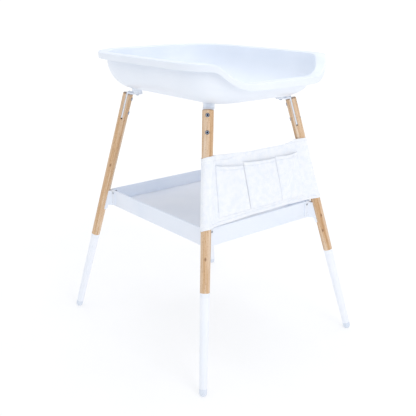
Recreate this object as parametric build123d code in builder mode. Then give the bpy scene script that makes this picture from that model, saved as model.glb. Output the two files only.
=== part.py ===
from build123d import *
import math
import os

# A changing table: a moulded tub whose rim dips at the front, on four splayed legs
# that are each turned in two lengths, with a storage tray between the legs and a
# fabric organiser across the two front legs.
#
# Frame: millimetres, +Z up, the floor at Z = 0, the table's centre at X = Y = 0.
# The front, where the rim is low, faces -Y. Left is -X.

# ---------------------------------------------------------------- driving sizes

# Stance: where a leg's axis meets the floor, and where the leg ends at the top
foot_half_width = 343
foot_half_depth = 399
leg_top_half_width = 178
leg_top_half_depth = 225
leg_top_height = 850

# Legs, with lengths along the leg's own axis
leg_top_radius = 18
leg_joint_radius = 15.3
leg_foot_radius = 12.4
leg_top_rounding = 4
leg_joint_height = 311.036  # where the wood meets the collar, above the floor
collar_length = 15
foot_cap_length = 13
foot_flat_depth = 1.2  # how much of the round tip the floor plane takes off

# Joint between the two lengths of a leg
stud_radius = 4
stud_in_upper_leg = 30
stud_in_lower_leg = 35
leg_insert_radius = 6.5
leg_insert_length = 20
foot_peg_radius = 4
foot_peg_length = 12
hole_end_room = 1  # how much deeper a blind hole is than what goes into it

# Steel bracket that carries the tub: a blade in the leg's slot, bent over into a pad
bracket_thickness = 5
bracket_width = 33
blade_length = 90
slot_length = 95
bracket_bend = 12  # from the leg's axis to where the plate turns level
bracket_reach = 33  # from the leg's axis to the pad's centre
pad_radius = 18

# Bolts through the leg and the blade
bolt_radius = 3
bolt_head_radius = 6.3
bolt_head_height = 4
bolt_recess_depth = 4.6
bolt_depths = (18, 70)  # along the leg, from its top
bolt_socket_radius = 2.6
bolt_socket_depth = 2.4
bolt_end_gap = 1  # the bolt stops this far above the nut's flange
head_chamfer = 1  # on the heads of nuts, screws and rivets
nut_barrel_radius = 4.5
nut_barrel_length = 9
nut_flange_radius = 6.3
nut_flange_height = 3
nut_recess_depth = 1.4

# Screws from the pad up into the tub's bosses
tub_screw_radius = 3
tub_screw_head_radius = 5.2
tub_screw_head_height = 3.4
tub_screw_length = 16
tub_washer_radius = 8
tub_washer_thickness = 1.5
tub_insert_radius = 4.5
tub_insert_length = 11

# Tub
rim_half_width = 283
rim_half_depth = 376
rim_corner_radius = 198
rim_overhang = 30
tub_forward = 4  # the tub's middle sits this far in front of the legs' middle
rim_skirt_height = 22
tub_wall = 4
tub_height = 130
bowl_radius = 98
bowl_radius_most = 0.85  # as a share of the bowl's height, where the bowl is shallow
boss_radius = 18
boss_height = 14
dip_depth = 58
dip_low_half_width = 171
dip_high_half_width = 229
dip_low_radius = 110
dip_high_radius = 25

# Storage tray
tray_half_width = 236.5
tray_half_depth = 285
tray_corner_radius = 14
tray_bottom_height = 432
tray_wall_height = 60
tray_wall = 3
tray_floor_lift = 10  # the walls reach below the floor panel by this much
tray_ledge_width = 9
tray_ledge_thickness = 8
tray_panel_thickness = 3
tray_lip_width = 2.5
tray_lip_height = 5
tray_rib_thickness = 2.5
tray_rib_depth = 5
tray_rib_count = 3  # each way

# Corner brackets that tie the tray to the legs
corner_web_width = 20
corner_hook_drop = 18
corner_hook_thickness = 4
corner_hook_radius = 12
corner_cover = 2.5
corner_cover_length = 34
corner_cover_inset = 8
corner_screw_radius = 2.5
corner_screw_head_radius = 4.6
corner_screw_head_height = 3
corner_screw_seat = 5
corner_screw_grip = 12
corner_insert_radius = 4.5
corner_insert_length = 13
corner_insert_recess = 1  # below the wood's surface
corner_edge_radius = 0.5
rivet_radius = 2
rivet_head_radius = 4
rivet_head_height = 1.2
rivet_from_corner = 22
rivet_below_top = 11

# Fabric organiser on the two front legs
organiser_bottom_height = 495
organiser_height = 218
organiser_hem_drop = 9  # the panel's top edge, below the tops of the sleeves
sleeve_thickness = 1.4
panel_thickness = 1.8
pocket_width_shares = {"left": 0.325, "middle": 0.392, "right": 0.283}
pocket_height = 154
pocket_above_hem = 25
pocket_cloth = 1.4
pocket_side_margin = 5
pocket_gap = 4
pocket_bottom_depth = 7
pocket_top_depth = 19
pocket_side_taper = 9

# Clearances
slot_clearance = 0.5
hole_clearance = 0.25
thread_clearance = 0.05
seat_clearance = 0.3
sleeve_clearance = 0.4

corners = {
    "front_left": (-1, -1),
    "front_right": (1, -1),
    "back_left": (-1, 1),
    "back_right": (1, 1),
}

# ---------------------------------------------------------------- derived sizes

leg_run_x = foot_half_width - leg_top_half_width
leg_run_y = foot_half_depth - leg_top_half_depth
lean = math.atan2(math.hypot(leg_run_x, leg_run_y), leg_top_height)
upper_leg_length = (leg_top_height - leg_joint_height) / math.cos(lean)
lower_leg_start = upper_leg_length + collar_length
foot_ball_height = leg_foot_radius - foot_flat_depth
foot_ball_depth = (leg_top_height - foot_ball_height) / math.cos(lean)
lower_leg_end = foot_ball_depth - foot_cap_length

pad_top_height = (
    leg_top_height
    - bracket_bend * math.sin(lean)
    + (seat_clearance + bracket_thickness) * math.cos(lean)
)
tub_bottom_height = pad_top_height + boss_height
rim_height = tub_bottom_height + tub_height

tray_top_height = tray_bottom_height + tray_wall_height
tray_floor_height = tray_bottom_height + tray_floor_lift
corner_hook_height = tray_bottom_height - corner_hook_drop
corner_screw_height = tray_bottom_height + 0.5 * tray_wall_height

organiser_top_height = organiser_bottom_height + organiser_height
panel_top_height = organiser_top_height - organiser_hem_drop


# ---------------------------------------------------------------- shared helpers


def leg_frame(side_x, side_y):
    """The leg's own plane: origin at its top, z up its axis, x square to it and outwards."""
    top = Vector(side_x * leg_top_half_width, side_y * leg_top_half_depth, leg_top_height)
    foot = Vector(side_x * foot_half_width, side_y * foot_half_depth, 0)
    up = (top - foot).normalized()
    spread = Vector(side_x * leg_run_x, side_y * leg_run_y, 0)
    outward = spread - up * spread.dot(up)
    return Plane(origin=top, x_dir=outward, z_dir=up)


def upright_frame(side_x, side_y):
    """Upright plane through the leg's axis: x level and outwards from the leg's top, y = Z."""
    spread = Vector(side_x * leg_run_x, side_y * leg_run_y, 0).normalized()
    origin = Vector(side_x * leg_top_half_width, side_y * leg_top_half_depth, 0)
    return Plane(origin=origin, x_dir=spread, z_dir=spread.cross(Vector(0, 0, 1)))


def side_of(frame):
    """The plane through a frame's z axis whose y is that axis and whose x is the frame's x."""
    return Plane(origin=frame.origin, x_dir=frame.x_dir, z_dir=-frame.y_dir)


def across(frame, depth):
    """A frame at a depth below a leg's top whose z points square out of the leg."""
    origin = frame.origin - frame.z_dir * depth
    return Plane(origin=origin, x_dir=frame.y_dir, z_dir=frame.x_dir)


def turned(frame, profile):
    """A piece turned about a frame's z axis from (radius, height) points."""
    with BuildPart() as piece:
        with BuildSketch(side_of(frame)):
            Polygon(*profile, align=None)
        revolve(axis=Axis(frame.origin, frame.z_dir))
    return piece.part


def rod(frame, radius, start, end):
    """A plain round rod along a frame's z axis."""
    return turned(frame, [(0, start), (radius, start), (radius, end), (0, end)])


def ring(frame, outer, inner, start, end):
    """A plain tube along a frame's z axis."""
    return turned(frame, [(inner, start), (outer, start), (outer, end), (inner, end)])


def leg_radius(depth):
    """The leg's radius at a depth below its top, on its two straight tapers."""
    if depth <= upper_leg_length:
        share = depth / upper_leg_length
        return leg_top_radius + (leg_joint_radius - leg_top_radius) * share
    share = (depth - upper_leg_length) / (foot_ball_depth - upper_leg_length)
    return leg_joint_radius + (leg_foot_radius - leg_joint_radius) * share


def depth_at(height):
    """The depth below the leg's top at which its axis passes a height above the floor."""
    return (leg_top_height - height) / math.cos(lean)


def leg_shape(frame, growth, start, end):
    """The outer form of the upper leg between two depths, grown by a clearance."""
    near, far = leg_radius(start) + growth, leg_radius(end) + growth
    return turned(frame, [(0, -start), (near, -start), (far, -end), (0, -end)])


def slab(low, high, reach=1000):
    """Everything between two heights."""
    with BuildPart() as block:
        with BuildSketch(Plane.XY.offset(low)):
            Rectangle(2 * reach, 2 * reach)
        extrude(amount=high - low)
    return block.part


def together(pieces):
    """Several separate solids in one part."""
    with BuildPart() as group:
        add(pieces)
    return group.part


def write(part, name):
    """Labels a finished piece and writes its STEP file."""
    part.label = name
    export_step(part, os.path.join("parts", f"{name}.step"))


frames = {name: leg_frame(*sides) for name, sides in corners.items()}
uprights = {name: upright_frame(*sides) for name, sides in corners.items()}


def pad_frame(name):
    """Level frame at the top of a bracket's pad, above the pad's centre."""
    upright = uprights[name]
    centre = upright.origin - upright.x_dir * bracket_reach
    return Plane(origin=centre + Vector(0, 0, pad_top_height), z_dir=(0, 0, 1))


# ---------------------------------------------------------------- legs


def make_upper_leg(name):
    """Turned wooden leg: rounded top, slot for the blade, bolt holes and insert holes."""
    frame = frames[name]
    insert_hole = leg_insert_radius + thread_clearance
    stud_hole = stud_radius + hole_clearance
    with BuildPart() as upper_leg:
        add(leg_shape(frame, 0, 0, upper_leg_length))
        fillet(upper_leg.edges().sort_by(Axis(frame.origin, frame.z_dir))[-1], leg_top_rounding)
        with BuildSketch(frame.offset(-slot_length)):
            Rectangle(bracket_thickness + 2 * slot_clearance, 4 * leg_top_radius)
        extrude(amount=slot_length, mode=Mode.SUBTRACT)
        for depth in bolt_depths:
            square = across(frame, depth)
            surface = leg_radius(depth)
            recess = surface - bolt_recess_depth
            nut_seat = -surface + nut_recess_depth
            barrel = nut_barrel_radius + hole_clearance
            add(rod(square, bolt_radius + hole_clearance, -surface, surface), mode=Mode.SUBTRACT)
            add(
                rod(square, bolt_head_radius + hole_clearance, recess, 2 * surface),
                mode=Mode.SUBTRACT,
            )
            add(
                rod(square, barrel, nut_seat, nut_seat + nut_barrel_length + hole_clearance),
                mode=Mode.SUBTRACT,
            )
            add(
                rod(square, nut_flange_radius + hole_clearance, -2 * surface, nut_seat),
                mode=Mode.SUBTRACT,
            )
        end = -upper_leg_length
        add(rod(frame, insert_hole, end, end + leg_insert_length), mode=Mode.SUBTRACT)
        add(rod(frame, stud_hole, end, end + stud_in_upper_leg + hole_end_room), mode=Mode.SUBTRACT)
        square = across(frame, depth_at(corner_screw_height))
        surface = leg_radius(depth_at(corner_screw_height))
        add(
            rod(
                square,
                corner_insert_radius + thread_clearance,
                -2 * surface,
                -surface + corner_insert_length,
            ),
            mode=Mode.SUBTRACT,
        )
    return upper_leg.part


def make_leg_collar(name):
    """Short white collar between the wooden leg and the lacquered one."""
    start, end = -upper_leg_length, -lower_leg_start
    bore = stud_radius + hole_clearance
    profile = [
        (bore, start),
        (leg_radius(upper_leg_length), start),
        (leg_radius(lower_leg_start), end),
        (bore, end),
    ]
    return turned(frames[name], profile)


def make_lower_leg(name):
    """White lacquered lower leg, drilled for the stud above and the foot's peg below."""
    frame = frames[name]
    start, end = -lower_leg_start, -lower_leg_end
    with BuildPart() as lower_leg:
        add(leg_shape(frame, 0, lower_leg_start, lower_leg_end))
        add(
            rod(frame, stud_radius + thread_clearance, start - stud_in_lower_leg, start),
            mode=Mode.SUBTRACT,
        )
        add(
            rod(frame, foot_peg_radius + thread_clearance, end, end + foot_peg_length + hole_end_room),
            mode=Mode.SUBTRACT,
        )
    return lower_leg.part


def make_foot_cap(name):
    """Rounded plastic foot with a peg, flat where it stands on the floor."""
    frame = frames[name]
    start, ball = -lower_leg_end, -foot_ball_depth
    with BuildPart() as foot_cap:
        with BuildSketch(side_of(frame)):
            with BuildLine():
                Polyline(
                    (0, ball - leg_foot_radius),
                    (0, start + foot_peg_length),
                    (foot_peg_radius, start + foot_peg_length),
                    (foot_peg_radius, start),
                    (leg_radius(lower_leg_end), start),
                    (leg_foot_radius, ball),
                )
                RadiusArc((leg_foot_radius, ball), (0, ball - leg_foot_radius), leg_foot_radius)
            make_face()
        revolve(axis=Axis(frame.origin, frame.z_dir))
        split(bisect_by=Plane.XY, keep=Keep.TOP)
    return foot_cap.part


def make_stud(name):
    """Threaded stud that screws the two lengths of a leg together."""
    centre = -upper_leg_length
    return rod(
        frames[name],
        stud_radius,
        centre - collar_length - stud_in_lower_leg,
        centre + stud_in_upper_leg,
    )


def make_leg_insert(name):
    """Threaded brass insert in the wooden leg's lower end."""
    end = -upper_leg_length
    bore = stud_radius + thread_clearance
    return ring(frames[name], leg_insert_radius, bore, end, end + leg_insert_length)


# ---------------------------------------------------------------- tub brackets


def make_tub_bracket(name):
    """Bent steel plate: a blade down the leg's slot, over the leg's top, level to a pad."""
    frame, pad = frames[name], pad_frame(name)
    half = bracket_thickness / 2
    low, high = seat_clearance, seat_clearance + bracket_thickness
    bend_x = -bracket_bend
    level = (-math.cos(lean), math.sin(lean))
    level_start = bracket_bend * math.cos(lean) + high * math.sin(lean)
    run = bracket_reach - level_start
    end_top = (bend_x + run * level[0], high + run * level[1])
    end_bottom = (
        end_top[0] - bracket_thickness * math.sin(lean),
        end_top[1] - bracket_thickness * math.cos(lean),
    )
    under_bend = (bend_x - bracket_thickness * math.tan(lean / 2), low)
    with BuildPart() as tub_bracket:
        with BuildSketch(side_of(frame)):
            Polygon(
                (half, -blade_length),
                (half, high),
                (bend_x, high),
                end_top,
                end_bottom,
                under_bend,
                (-half, low),
                (-half, -blade_length),
                align=None,
            )
        extrude(amount=bracket_width / 2, both=True)
        with BuildSketch(pad.offset(-bracket_thickness)):
            Circle(pad_radius)
        extrude(amount=bracket_thickness)
        with BuildSketch(pad.offset(-bracket_thickness)):
            Circle(tub_screw_radius + hole_clearance)
        extrude(amount=bracket_thickness, mode=Mode.SUBTRACT)
        for depth in bolt_depths:
            add(
                rod(across(frame, depth), bolt_radius + hole_clearance, -half, half),
                mode=Mode.SUBTRACT,
            )
    return tub_bracket.part


def make_leg_bolt(name, depth):
    """Socket-head bolt, its head sunk in the outer face of the leg."""
    square, surface = across(frames[name], depth), leg_radius(depth)
    seat = surface - bolt_recess_depth
    nut_seat = -surface + nut_recess_depth
    profile = [
        (0, nut_seat + bolt_end_gap),
        (bolt_radius, nut_seat + bolt_end_gap),
        (bolt_radius, seat),
        (bolt_head_radius, seat),
        (bolt_head_radius, seat + bolt_head_height),
        (0, seat + bolt_head_height),
    ]
    with BuildPart() as leg_bolt:
        add(turned(square, profile))
        with BuildSketch(square.offset(seat + bolt_head_height)):
            RegularPolygon(bolt_socket_radius, 6)
        extrude(amount=-bolt_socket_depth, mode=Mode.SUBTRACT)
    return leg_bolt.part


def make_leg_nut(name, depth):
    """Sleeve nut with a low flange, in the inner face of the leg."""
    square, surface = across(frames[name], depth), leg_radius(depth)
    seat = -surface + nut_recess_depth
    bore = bolt_radius + thread_clearance
    profile = [
        (0, seat - nut_flange_height),
        (nut_flange_radius - head_chamfer, seat - nut_flange_height),
        (nut_flange_radius, seat - nut_flange_height + head_chamfer),
        (nut_flange_radius, seat),
        (nut_barrel_radius, seat),
        (nut_barrel_radius, seat + nut_barrel_length),
        (bore, seat + nut_barrel_length),
        (bore, seat),
        (0, seat),
    ]
    return turned(square, profile)


def make_tub_screw(name):
    """Pan-head screw up through the pad."""
    head = -bracket_thickness - tub_washer_thickness
    profile = [
        (0, head - tub_screw_head_height),
        (tub_screw_head_radius - head_chamfer, head - tub_screw_head_height),
        (tub_screw_head_radius, head - tub_screw_head_height + head_chamfer),
        (tub_screw_head_radius, head),
        (tub_screw_radius, head),
        (tub_screw_radius, head + tub_screw_length),
        (0, head + tub_screw_length),
    ]
    pad = pad_frame(name)
    with BuildPart() as tub_screw:
        add(turned(pad, profile))
        with BuildSketch(pad.offset(head - tub_screw_head_height)):
            RegularPolygon(bolt_socket_radius, 6)
        extrude(amount=bolt_socket_depth, mode=Mode.SUBTRACT)
    return tub_screw.part


def make_tub_washer(name):
    """Washer between the screw's head and the pad."""
    top = -bracket_thickness
    bore = tub_screw_radius + hole_clearance
    return ring(pad_frame(name), tub_washer_radius, bore, top - tub_washer_thickness, top)


def make_tub_insert(name):
    """Threaded brass insert moulded into a boss of the tub."""
    bore = tub_screw_radius + thread_clearance
    return ring(pad_frame(name), tub_insert_radius, bore, 0, tub_insert_length)


# ---------------------------------------------------------------- tub


def above_rim(drop):
    """Everything above the rim's top surface, lowered by drop: level, and dipped in front."""
    reach = 3 * rim_half_depth
    level, ceiling = rim_height - drop, rim_height + reach
    floor = level - dip_depth
    with BuildPart() as region:
        with BuildSketch(Plane.XZ):
            with BuildLine():
                FilletPolyline(
                    (-reach, level),
                    (-dip_high_half_width, level),
                    (-dip_low_half_width, floor),
                    (dip_low_half_width, floor),
                    (dip_high_half_width, level),
                    (reach, level),
                    radius=[dip_high_radius, dip_low_radius, dip_low_radius, dip_high_radius],
                )
                Polyline((reach, level), (reach, ceiling), (-reach, ceiling), (-reach, level))
            make_face()
        extrude(amount=reach)
        with BuildSketch(Plane.XY.offset(level)):
            with Locations((0, reach / 2)):
                Rectangle(2 * reach, reach)
        extrude(amount=ceiling - level)
    return region.part


def outline_column(inset, low, high):
    """An upright column on the rim's outline, inset all round."""
    with BuildPart() as column:
        with BuildSketch(Plane.XY.offset(low)):
            with Locations((0, -tub_forward)):
                RectangleRounded(
                    2 * (rim_half_width - inset),
                    2 * (rim_half_depth - inset),
                    rim_corner_radius - inset,
                )
        extrude(amount=high - low)
    return column.part


def bowl_form(inset, low):
    """The bowl's form: an inset column with its lower edge rounded, up to the rim."""
    with BuildPart() as bowl:
        add(outline_column(inset, low, rim_height))
        rounding = min(bowl_radius, bowl_radius_most * (rim_height - low))
        fillet(bowl.edges().group_by(Axis.Z)[0], rounding)
    return bowl.part


def rim_band(outer_inset, inner_inset, depth):
    """A band that follows the rim: between two outlines, from its top surface down."""
    low, high = rim_height - dip_depth - 2 * rim_skirt_height, rim_height
    top_region, band_region = above_rim(0), above_rim(depth)
    with BuildPart() as band:
        add(outline_column(outer_inset, low, high))
        add(outline_column(inner_inset, low, high), mode=Mode.SUBTRACT)
        add(band_region, mode=Mode.INTERSECT)
        add(top_region, mode=Mode.SUBTRACT)
    return band.part


def make_tub():
    """Moulded tub: bowl, lip turned down into a skirt, and four bosses with insert holes."""
    bowl = bowl_form(rim_overhang, tub_bottom_height)
    cavity = bowl_form(rim_overhang + tub_wall, tub_bottom_height + tub_wall)
    lip = rim_band(0, rim_overhang + bowl_radius / 4, tub_wall)  # the cavity trims it
    skirt = rim_band(0, tub_wall, rim_skirt_height)
    open_top = above_rim(0)
    bosses = [
        rod(pad_frame(name), boss_radius, 0, boss_height + 2 * tub_wall) for name in corners
    ]
    insert_holes = [
        rod(pad_frame(name), tub_insert_radius + thread_clearance, 0, tub_insert_length)
        for name in corners
    ]
    with BuildPart() as tub:
        add(bowl)
        add(bosses)
        add(open_top, mode=Mode.SUBTRACT)
        add(lip)
        add(skirt)
        add(cavity, mode=Mode.SUBTRACT)
        add(insert_holes, mode=Mode.SUBTRACT)
    return tub.part


# ---------------------------------------------------------------- storage tray


def tray_column(growth, low, high):
    """An upright column on the tray's outline, grown all round."""
    with BuildPart() as column:
        with BuildSketch(Plane.XY.offset(low)):
            RectangleRounded(
                2 * (tray_half_width + growth),
                2 * (tray_half_depth + growth),
                tray_corner_radius + growth,
            )
        extrude(amount=high - low)
    return column.part


def rivet_frames():
    """Frames on the tray's walls beside each corner, z pointing out of the tray."""
    height = tray_top_height - rivet_below_top
    frames_out = []
    for side_x, side_y in corners.values():
        along_x = side_x * (tray_half_width - rivet_from_corner)
        along_y = side_y * (tray_half_depth - rivet_from_corner)
        end_wall = Vector(along_x, side_y * tray_half_depth, height)
        side_wall = Vector(side_x * tray_half_width, along_y, height)
        frames_out.append(Plane(origin=end_wall, x_dir=(1, 0, 0), z_dir=(0, side_y, 0)))
        frames_out.append(Plane(origin=side_wall, x_dir=(0, 1, 0), z_dir=(side_x, 0, 0)))
    return frames_out


def make_tray_ring():
    """The tray's frame in one ring: walls with a small lip on top, drilled for its rivets."""
    holes = [
        rod(frame, rivet_radius + hole_clearance, -2 * tray_wall, tray_wall)
        for frame in rivet_frames()
    ]
    with BuildPart() as ring:
        add(tray_column(0, tray_bottom_height, tray_top_height))
        add(tray_column(tray_lip_width, tray_top_height - tray_lip_height, tray_top_height))
        add(tray_column(-tray_wall, tray_bottom_height, tray_top_height), mode=Mode.SUBTRACT)
        add(holes, mode=Mode.SUBTRACT)
    return ring.part


def make_tray_wall(ring, side_x, side_y):
    """One straight wall of the tray, cut from the ring where the corners begin."""
    straight_x = 2 * (tray_half_width - tray_corner_radius)
    straight_y = 2 * (tray_half_depth - tray_corner_radius)
    middle = (tray_bottom_height + tray_top_height) / 2
    with BuildPart() as wall:
        add(ring)
        with Locations((side_x * tray_half_width, side_y * tray_half_depth, middle)):
            Box(
                straight_x if side_y else 2 * tray_corner_radius,
                straight_y if side_x else 2 * tray_corner_radius,
                2 * tray_top_height,
                mode=Mode.INTERSECT,
            )
    return wall.part


def make_tray_corners(ring):
    """The tray's four corner mouldings, which join its straight walls."""
    straight_x = 2 * (tray_half_width - tray_corner_radius)
    straight_y = 2 * (tray_half_depth - tray_corner_radius)
    with BuildPart() as tray_corners:
        add(ring)
        Box(straight_x, 4 * tray_half_depth, 4 * tray_top_height, mode=Mode.SUBTRACT)
        Box(4 * tray_half_width, straight_y, 4 * tray_top_height, mode=Mode.SUBTRACT)
    return tray_corners.part


def make_tray_ledges():
    """Four bars bonded inside the tray's walls, which carry the floor panel."""
    from_wall = tray_wall + tray_ledge_width / 2
    with BuildPart() as ledges:
        with BuildSketch(Plane.XY.offset(tray_floor_height - tray_ledge_thickness)):
            with Locations((0, tray_half_depth - from_wall), (0, from_wall - tray_half_depth)):
                Rectangle(2 * (tray_half_width - tray_corner_radius), tray_ledge_width)
            with Locations((tray_half_width - from_wall, 0), (from_wall - tray_half_width, 0)):
                Rectangle(tray_ledge_width, 2 * (tray_half_depth - tray_corner_radius))
        extrude(amount=tray_ledge_thickness)
    return ledges.part


def make_tray_floor():
    """Floor panel that drops on the ledge bars, with a grid of ribs under it."""
    edge = -tray_wall - seat_clearance
    ribs_inset = tray_wall + tray_ledge_width + 2 * seat_clearance
    ribs_width = 2 * (tray_half_width - ribs_inset)
    ribs_depth = 2 * (tray_half_depth - ribs_inset)
    spacing_x = ribs_width / (tray_rib_count + 1)
    spacing_y = ribs_depth / (tray_rib_count + 1)
    with BuildPart() as floor:
        add(tray_column(edge, tray_floor_height, tray_floor_height + tray_panel_thickness))
        with BuildSketch(Plane.XY.offset(tray_floor_height - tray_rib_depth)):
            with GridLocations(spacing_x, 0, tray_rib_count, 1):
                Rectangle(tray_rib_thickness, ribs_depth)
            with GridLocations(0, spacing_y, 1, tray_rib_count):
                Rectangle(ribs_width, tray_rib_thickness)
        extrude(amount=tray_rib_depth + tray_panel_thickness / 2)
    return floor.part


def make_corner_bracket(name):
    """White bracket from a tray corner to its leg: an L-shaped cover, a web and a hook."""
    frame, upright = frames[name], uprights[name]
    side_x, side_y = corners[name]
    top = tray_top_height - tray_lip_height
    hook = corner_hook_height

    def axis_at(height):
        return (leg_top_height - height) * math.tan(lean)

    def face_at(height):
        surface = leg_radius(depth_at(height)) / math.cos(lean)
        return axis_at(height) - surface - corner_hook_thickness

    # the web lies in the leg's leaning plane, which may meet either wall of the tray
    to_side = (tray_half_width - leg_top_half_width) / leg_run_x
    to_end = (tray_half_depth - leg_top_half_depth) / leg_run_y
    inner = min(to_side, to_end) * math.hypot(leg_run_x, leg_run_y) - tray_corner_radius
    web_along_end = leg_run_x * (to_side - to_end)
    web_along_side = leg_run_y * (to_end - to_side)
    cover_x = max(corner_cover_length, web_along_end + corner_web_width)
    cover_y = max(corner_cover_length, web_along_side + corner_web_width)
    cover_low = tray_bottom_height + corner_cover_inset
    cover_centre = (
        side_x * (tray_half_width + corner_cover - cover_x / 2),
        side_y * (tray_half_depth + corner_cover - cover_y / 2),
    )
    square = across(frame, depth_at(corner_screw_height))
    surface = leg_radius(depth_at(corner_screw_height))
    head_room = corner_screw_head_radius + hole_clearance
    leg_form = leg_shape(frame, thread_clearance, blade_length, upper_leg_length)
    tray_form = tray_column(0, tray_bottom_height, tray_top_height)
    rivet_holes = [
        rod(rivet, rivet_radius + hole_clearance, -tray_wall, 2 * corner_cover)
        for rivet in rivet_frames()
    ]
    with BuildPart() as corner_bracket:
        with BuildSketch(upright):
            with BuildLine():
                FilletPolyline(
                    (axis_at(hook), hook),
                    (face_at(hook), hook),
                    (face_at(tray_bottom_height), tray_bottom_height),
                    (inner, tray_bottom_height),
                    (inner, top),
                    radius=[corner_edge_radius, corner_hook_radius, corner_edge_radius],
                )
                Polyline((inner, top), (axis_at(top), top), (axis_at(hook), hook))
            make_face()
        extrude(amount=corner_web_width / 2, both=True)
        with BuildSketch(Plane.XY.offset(cover_low)):
            RectangleRounded(
                2 * (tray_half_width + corner_cover),
                2 * (tray_half_depth + corner_cover),
                tray_corner_radius + corner_cover,
            )
            with Locations(cover_centre):
                Rectangle(cover_x, cover_y, mode=Mode.INTERSECT)
        extrude(amount=top - cover_low)
        add(tray_form, mode=Mode.SUBTRACT)
        add(leg_form, mode=Mode.SUBTRACT)
        add(
            rod(square, corner_screw_radius + hole_clearance, -3 * surface, 0),
            mode=Mode.SUBTRACT,
        )
        add(
            rod(square, head_room, -3 * surface, -surface - corner_screw_seat),
            mode=Mode.SUBTRACT,
        )
        add(rivet_holes, mode=Mode.SUBTRACT)
    return corner_bracket.part


def make_corner_screw(name):
    """Screw that holds a corner bracket to its leg, its head sunk in the bracket."""
    depth = depth_at(corner_screw_height)
    square, surface = across(frames[name], depth), leg_radius(depth)
    seat = -surface - corner_screw_seat
    profile = [
        (0, seat - corner_screw_head_height),
        (corner_screw_head_radius - head_chamfer, seat - corner_screw_head_height),
        (corner_screw_head_radius, seat - corner_screw_head_height + head_chamfer),
        (corner_screw_head_radius, seat),
        (corner_screw_radius, seat),
        (corner_screw_radius, seat + corner_screw_seat + corner_screw_grip),
        (0, seat + corner_screw_seat + corner_screw_grip),
    ]
    return turned(square, profile)


def make_corner_insert(name):
    """Threaded brass insert in the leg for the corner bracket's screw."""
    depth = depth_at(corner_screw_height)
    square, surface = across(frames[name], depth), leg_radius(depth)
    start = -surface + corner_insert_recess
    bore = corner_screw_radius + thread_clearance
    end = -surface + corner_insert_length
    return ring(square, corner_insert_radius, bore, start, end)


def make_rivet(frame):
    """Snap rivet through the tray's wall and the bracket's cover."""
    inner = -tray_wall
    outer = corner_cover
    profile = [
        (0, inner - rivet_head_height),
        (rivet_head_radius - head_chamfer, inner - rivet_head_height),
        (rivet_head_radius, inner),
        (rivet_radius, inner),
        (rivet_radius, outer),
        (rivet_head_radius, outer),
        (rivet_head_radius - head_chamfer, outer + rivet_head_height),
        (0, outer + rivet_head_height),
    ]
    return turned(frame, profile)


# ---------------------------------------------------------------- organiser


def panel_plane():
    """Plane through both front legs' axes: x along X, y up the slope, z out of the front."""
    slope = leg_run_y / leg_top_height
    drop = leg_top_height - organiser_bottom_height
    origin = Vector(0, -leg_top_half_depth - slope * drop, organiser_bottom_height)
    return Plane(origin=origin, x_dir=(1, 0, 0), z_dir=(0, -1, slope))


def up_panel(height):
    """Distance up the sloping panel to a height above the floor."""
    return (height - organiser_bottom_height) * math.hypot(1, leg_run_y / leg_top_height)


def leg_x_at(height):
    """How far out along X a leg's axis is at a height."""
    return leg_top_half_width + (leg_top_height - height) * leg_run_x / leg_top_height


def make_sleeve(name):
    """Fabric sleeve round a front leg, cut level at both ends."""
    frame = frames[name]
    start = depth_at(organiser_top_height) - leg_top_radius
    end = depth_at(organiser_bottom_height) + leg_top_radius
    outside = leg_shape(frame, sleeve_clearance + sleeve_thickness, start, end)
    inside = leg_shape(frame, sleeve_clearance, start, end)
    level_band = slab(organiser_bottom_height, organiser_top_height)
    with BuildPart() as sleeve:
        add(outside)
        add(inside, mode=Mode.SUBTRACT)
        add(level_band, mode=Mode.INTERSECT)
    return sleeve.part


def make_panel():
    """Fabric back panel stretched between the two sleeves."""
    plane = panel_plane()
    bottom, top = organiser_bottom_height, panel_top_height
    low, high = leg_x_at(bottom), leg_x_at(top)
    start = depth_at(organiser_top_height) - leg_top_radius
    end = depth_at(organiser_bottom_height) + leg_top_radius
    sleeves = [
        leg_shape(frames[name], sleeve_clearance + sleeve_thickness, start, end)
        for name in ("front_left", "front_right")
    ]
    with BuildPart() as panel:
        with BuildSketch(plane.offset(-panel_thickness / 2)):
            Polygon((-low, 0), (low, 0), (high, up_panel(top)), (-high, up_panel(top)), align=None)
        extrude(amount=panel_thickness)
        add(sleeves, mode=Mode.SUBTRACT)
    return panel.part


def plane_block(face):
    """The space just behind a plane."""
    with BuildPart() as block:
        with BuildSketch(face.offset(-pocket_top_depth)):
            Rectangle(4 * foot_half_width, 4 * organiser_height)
        extrude(amount=pocket_top_depth)
    return block.part


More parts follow.
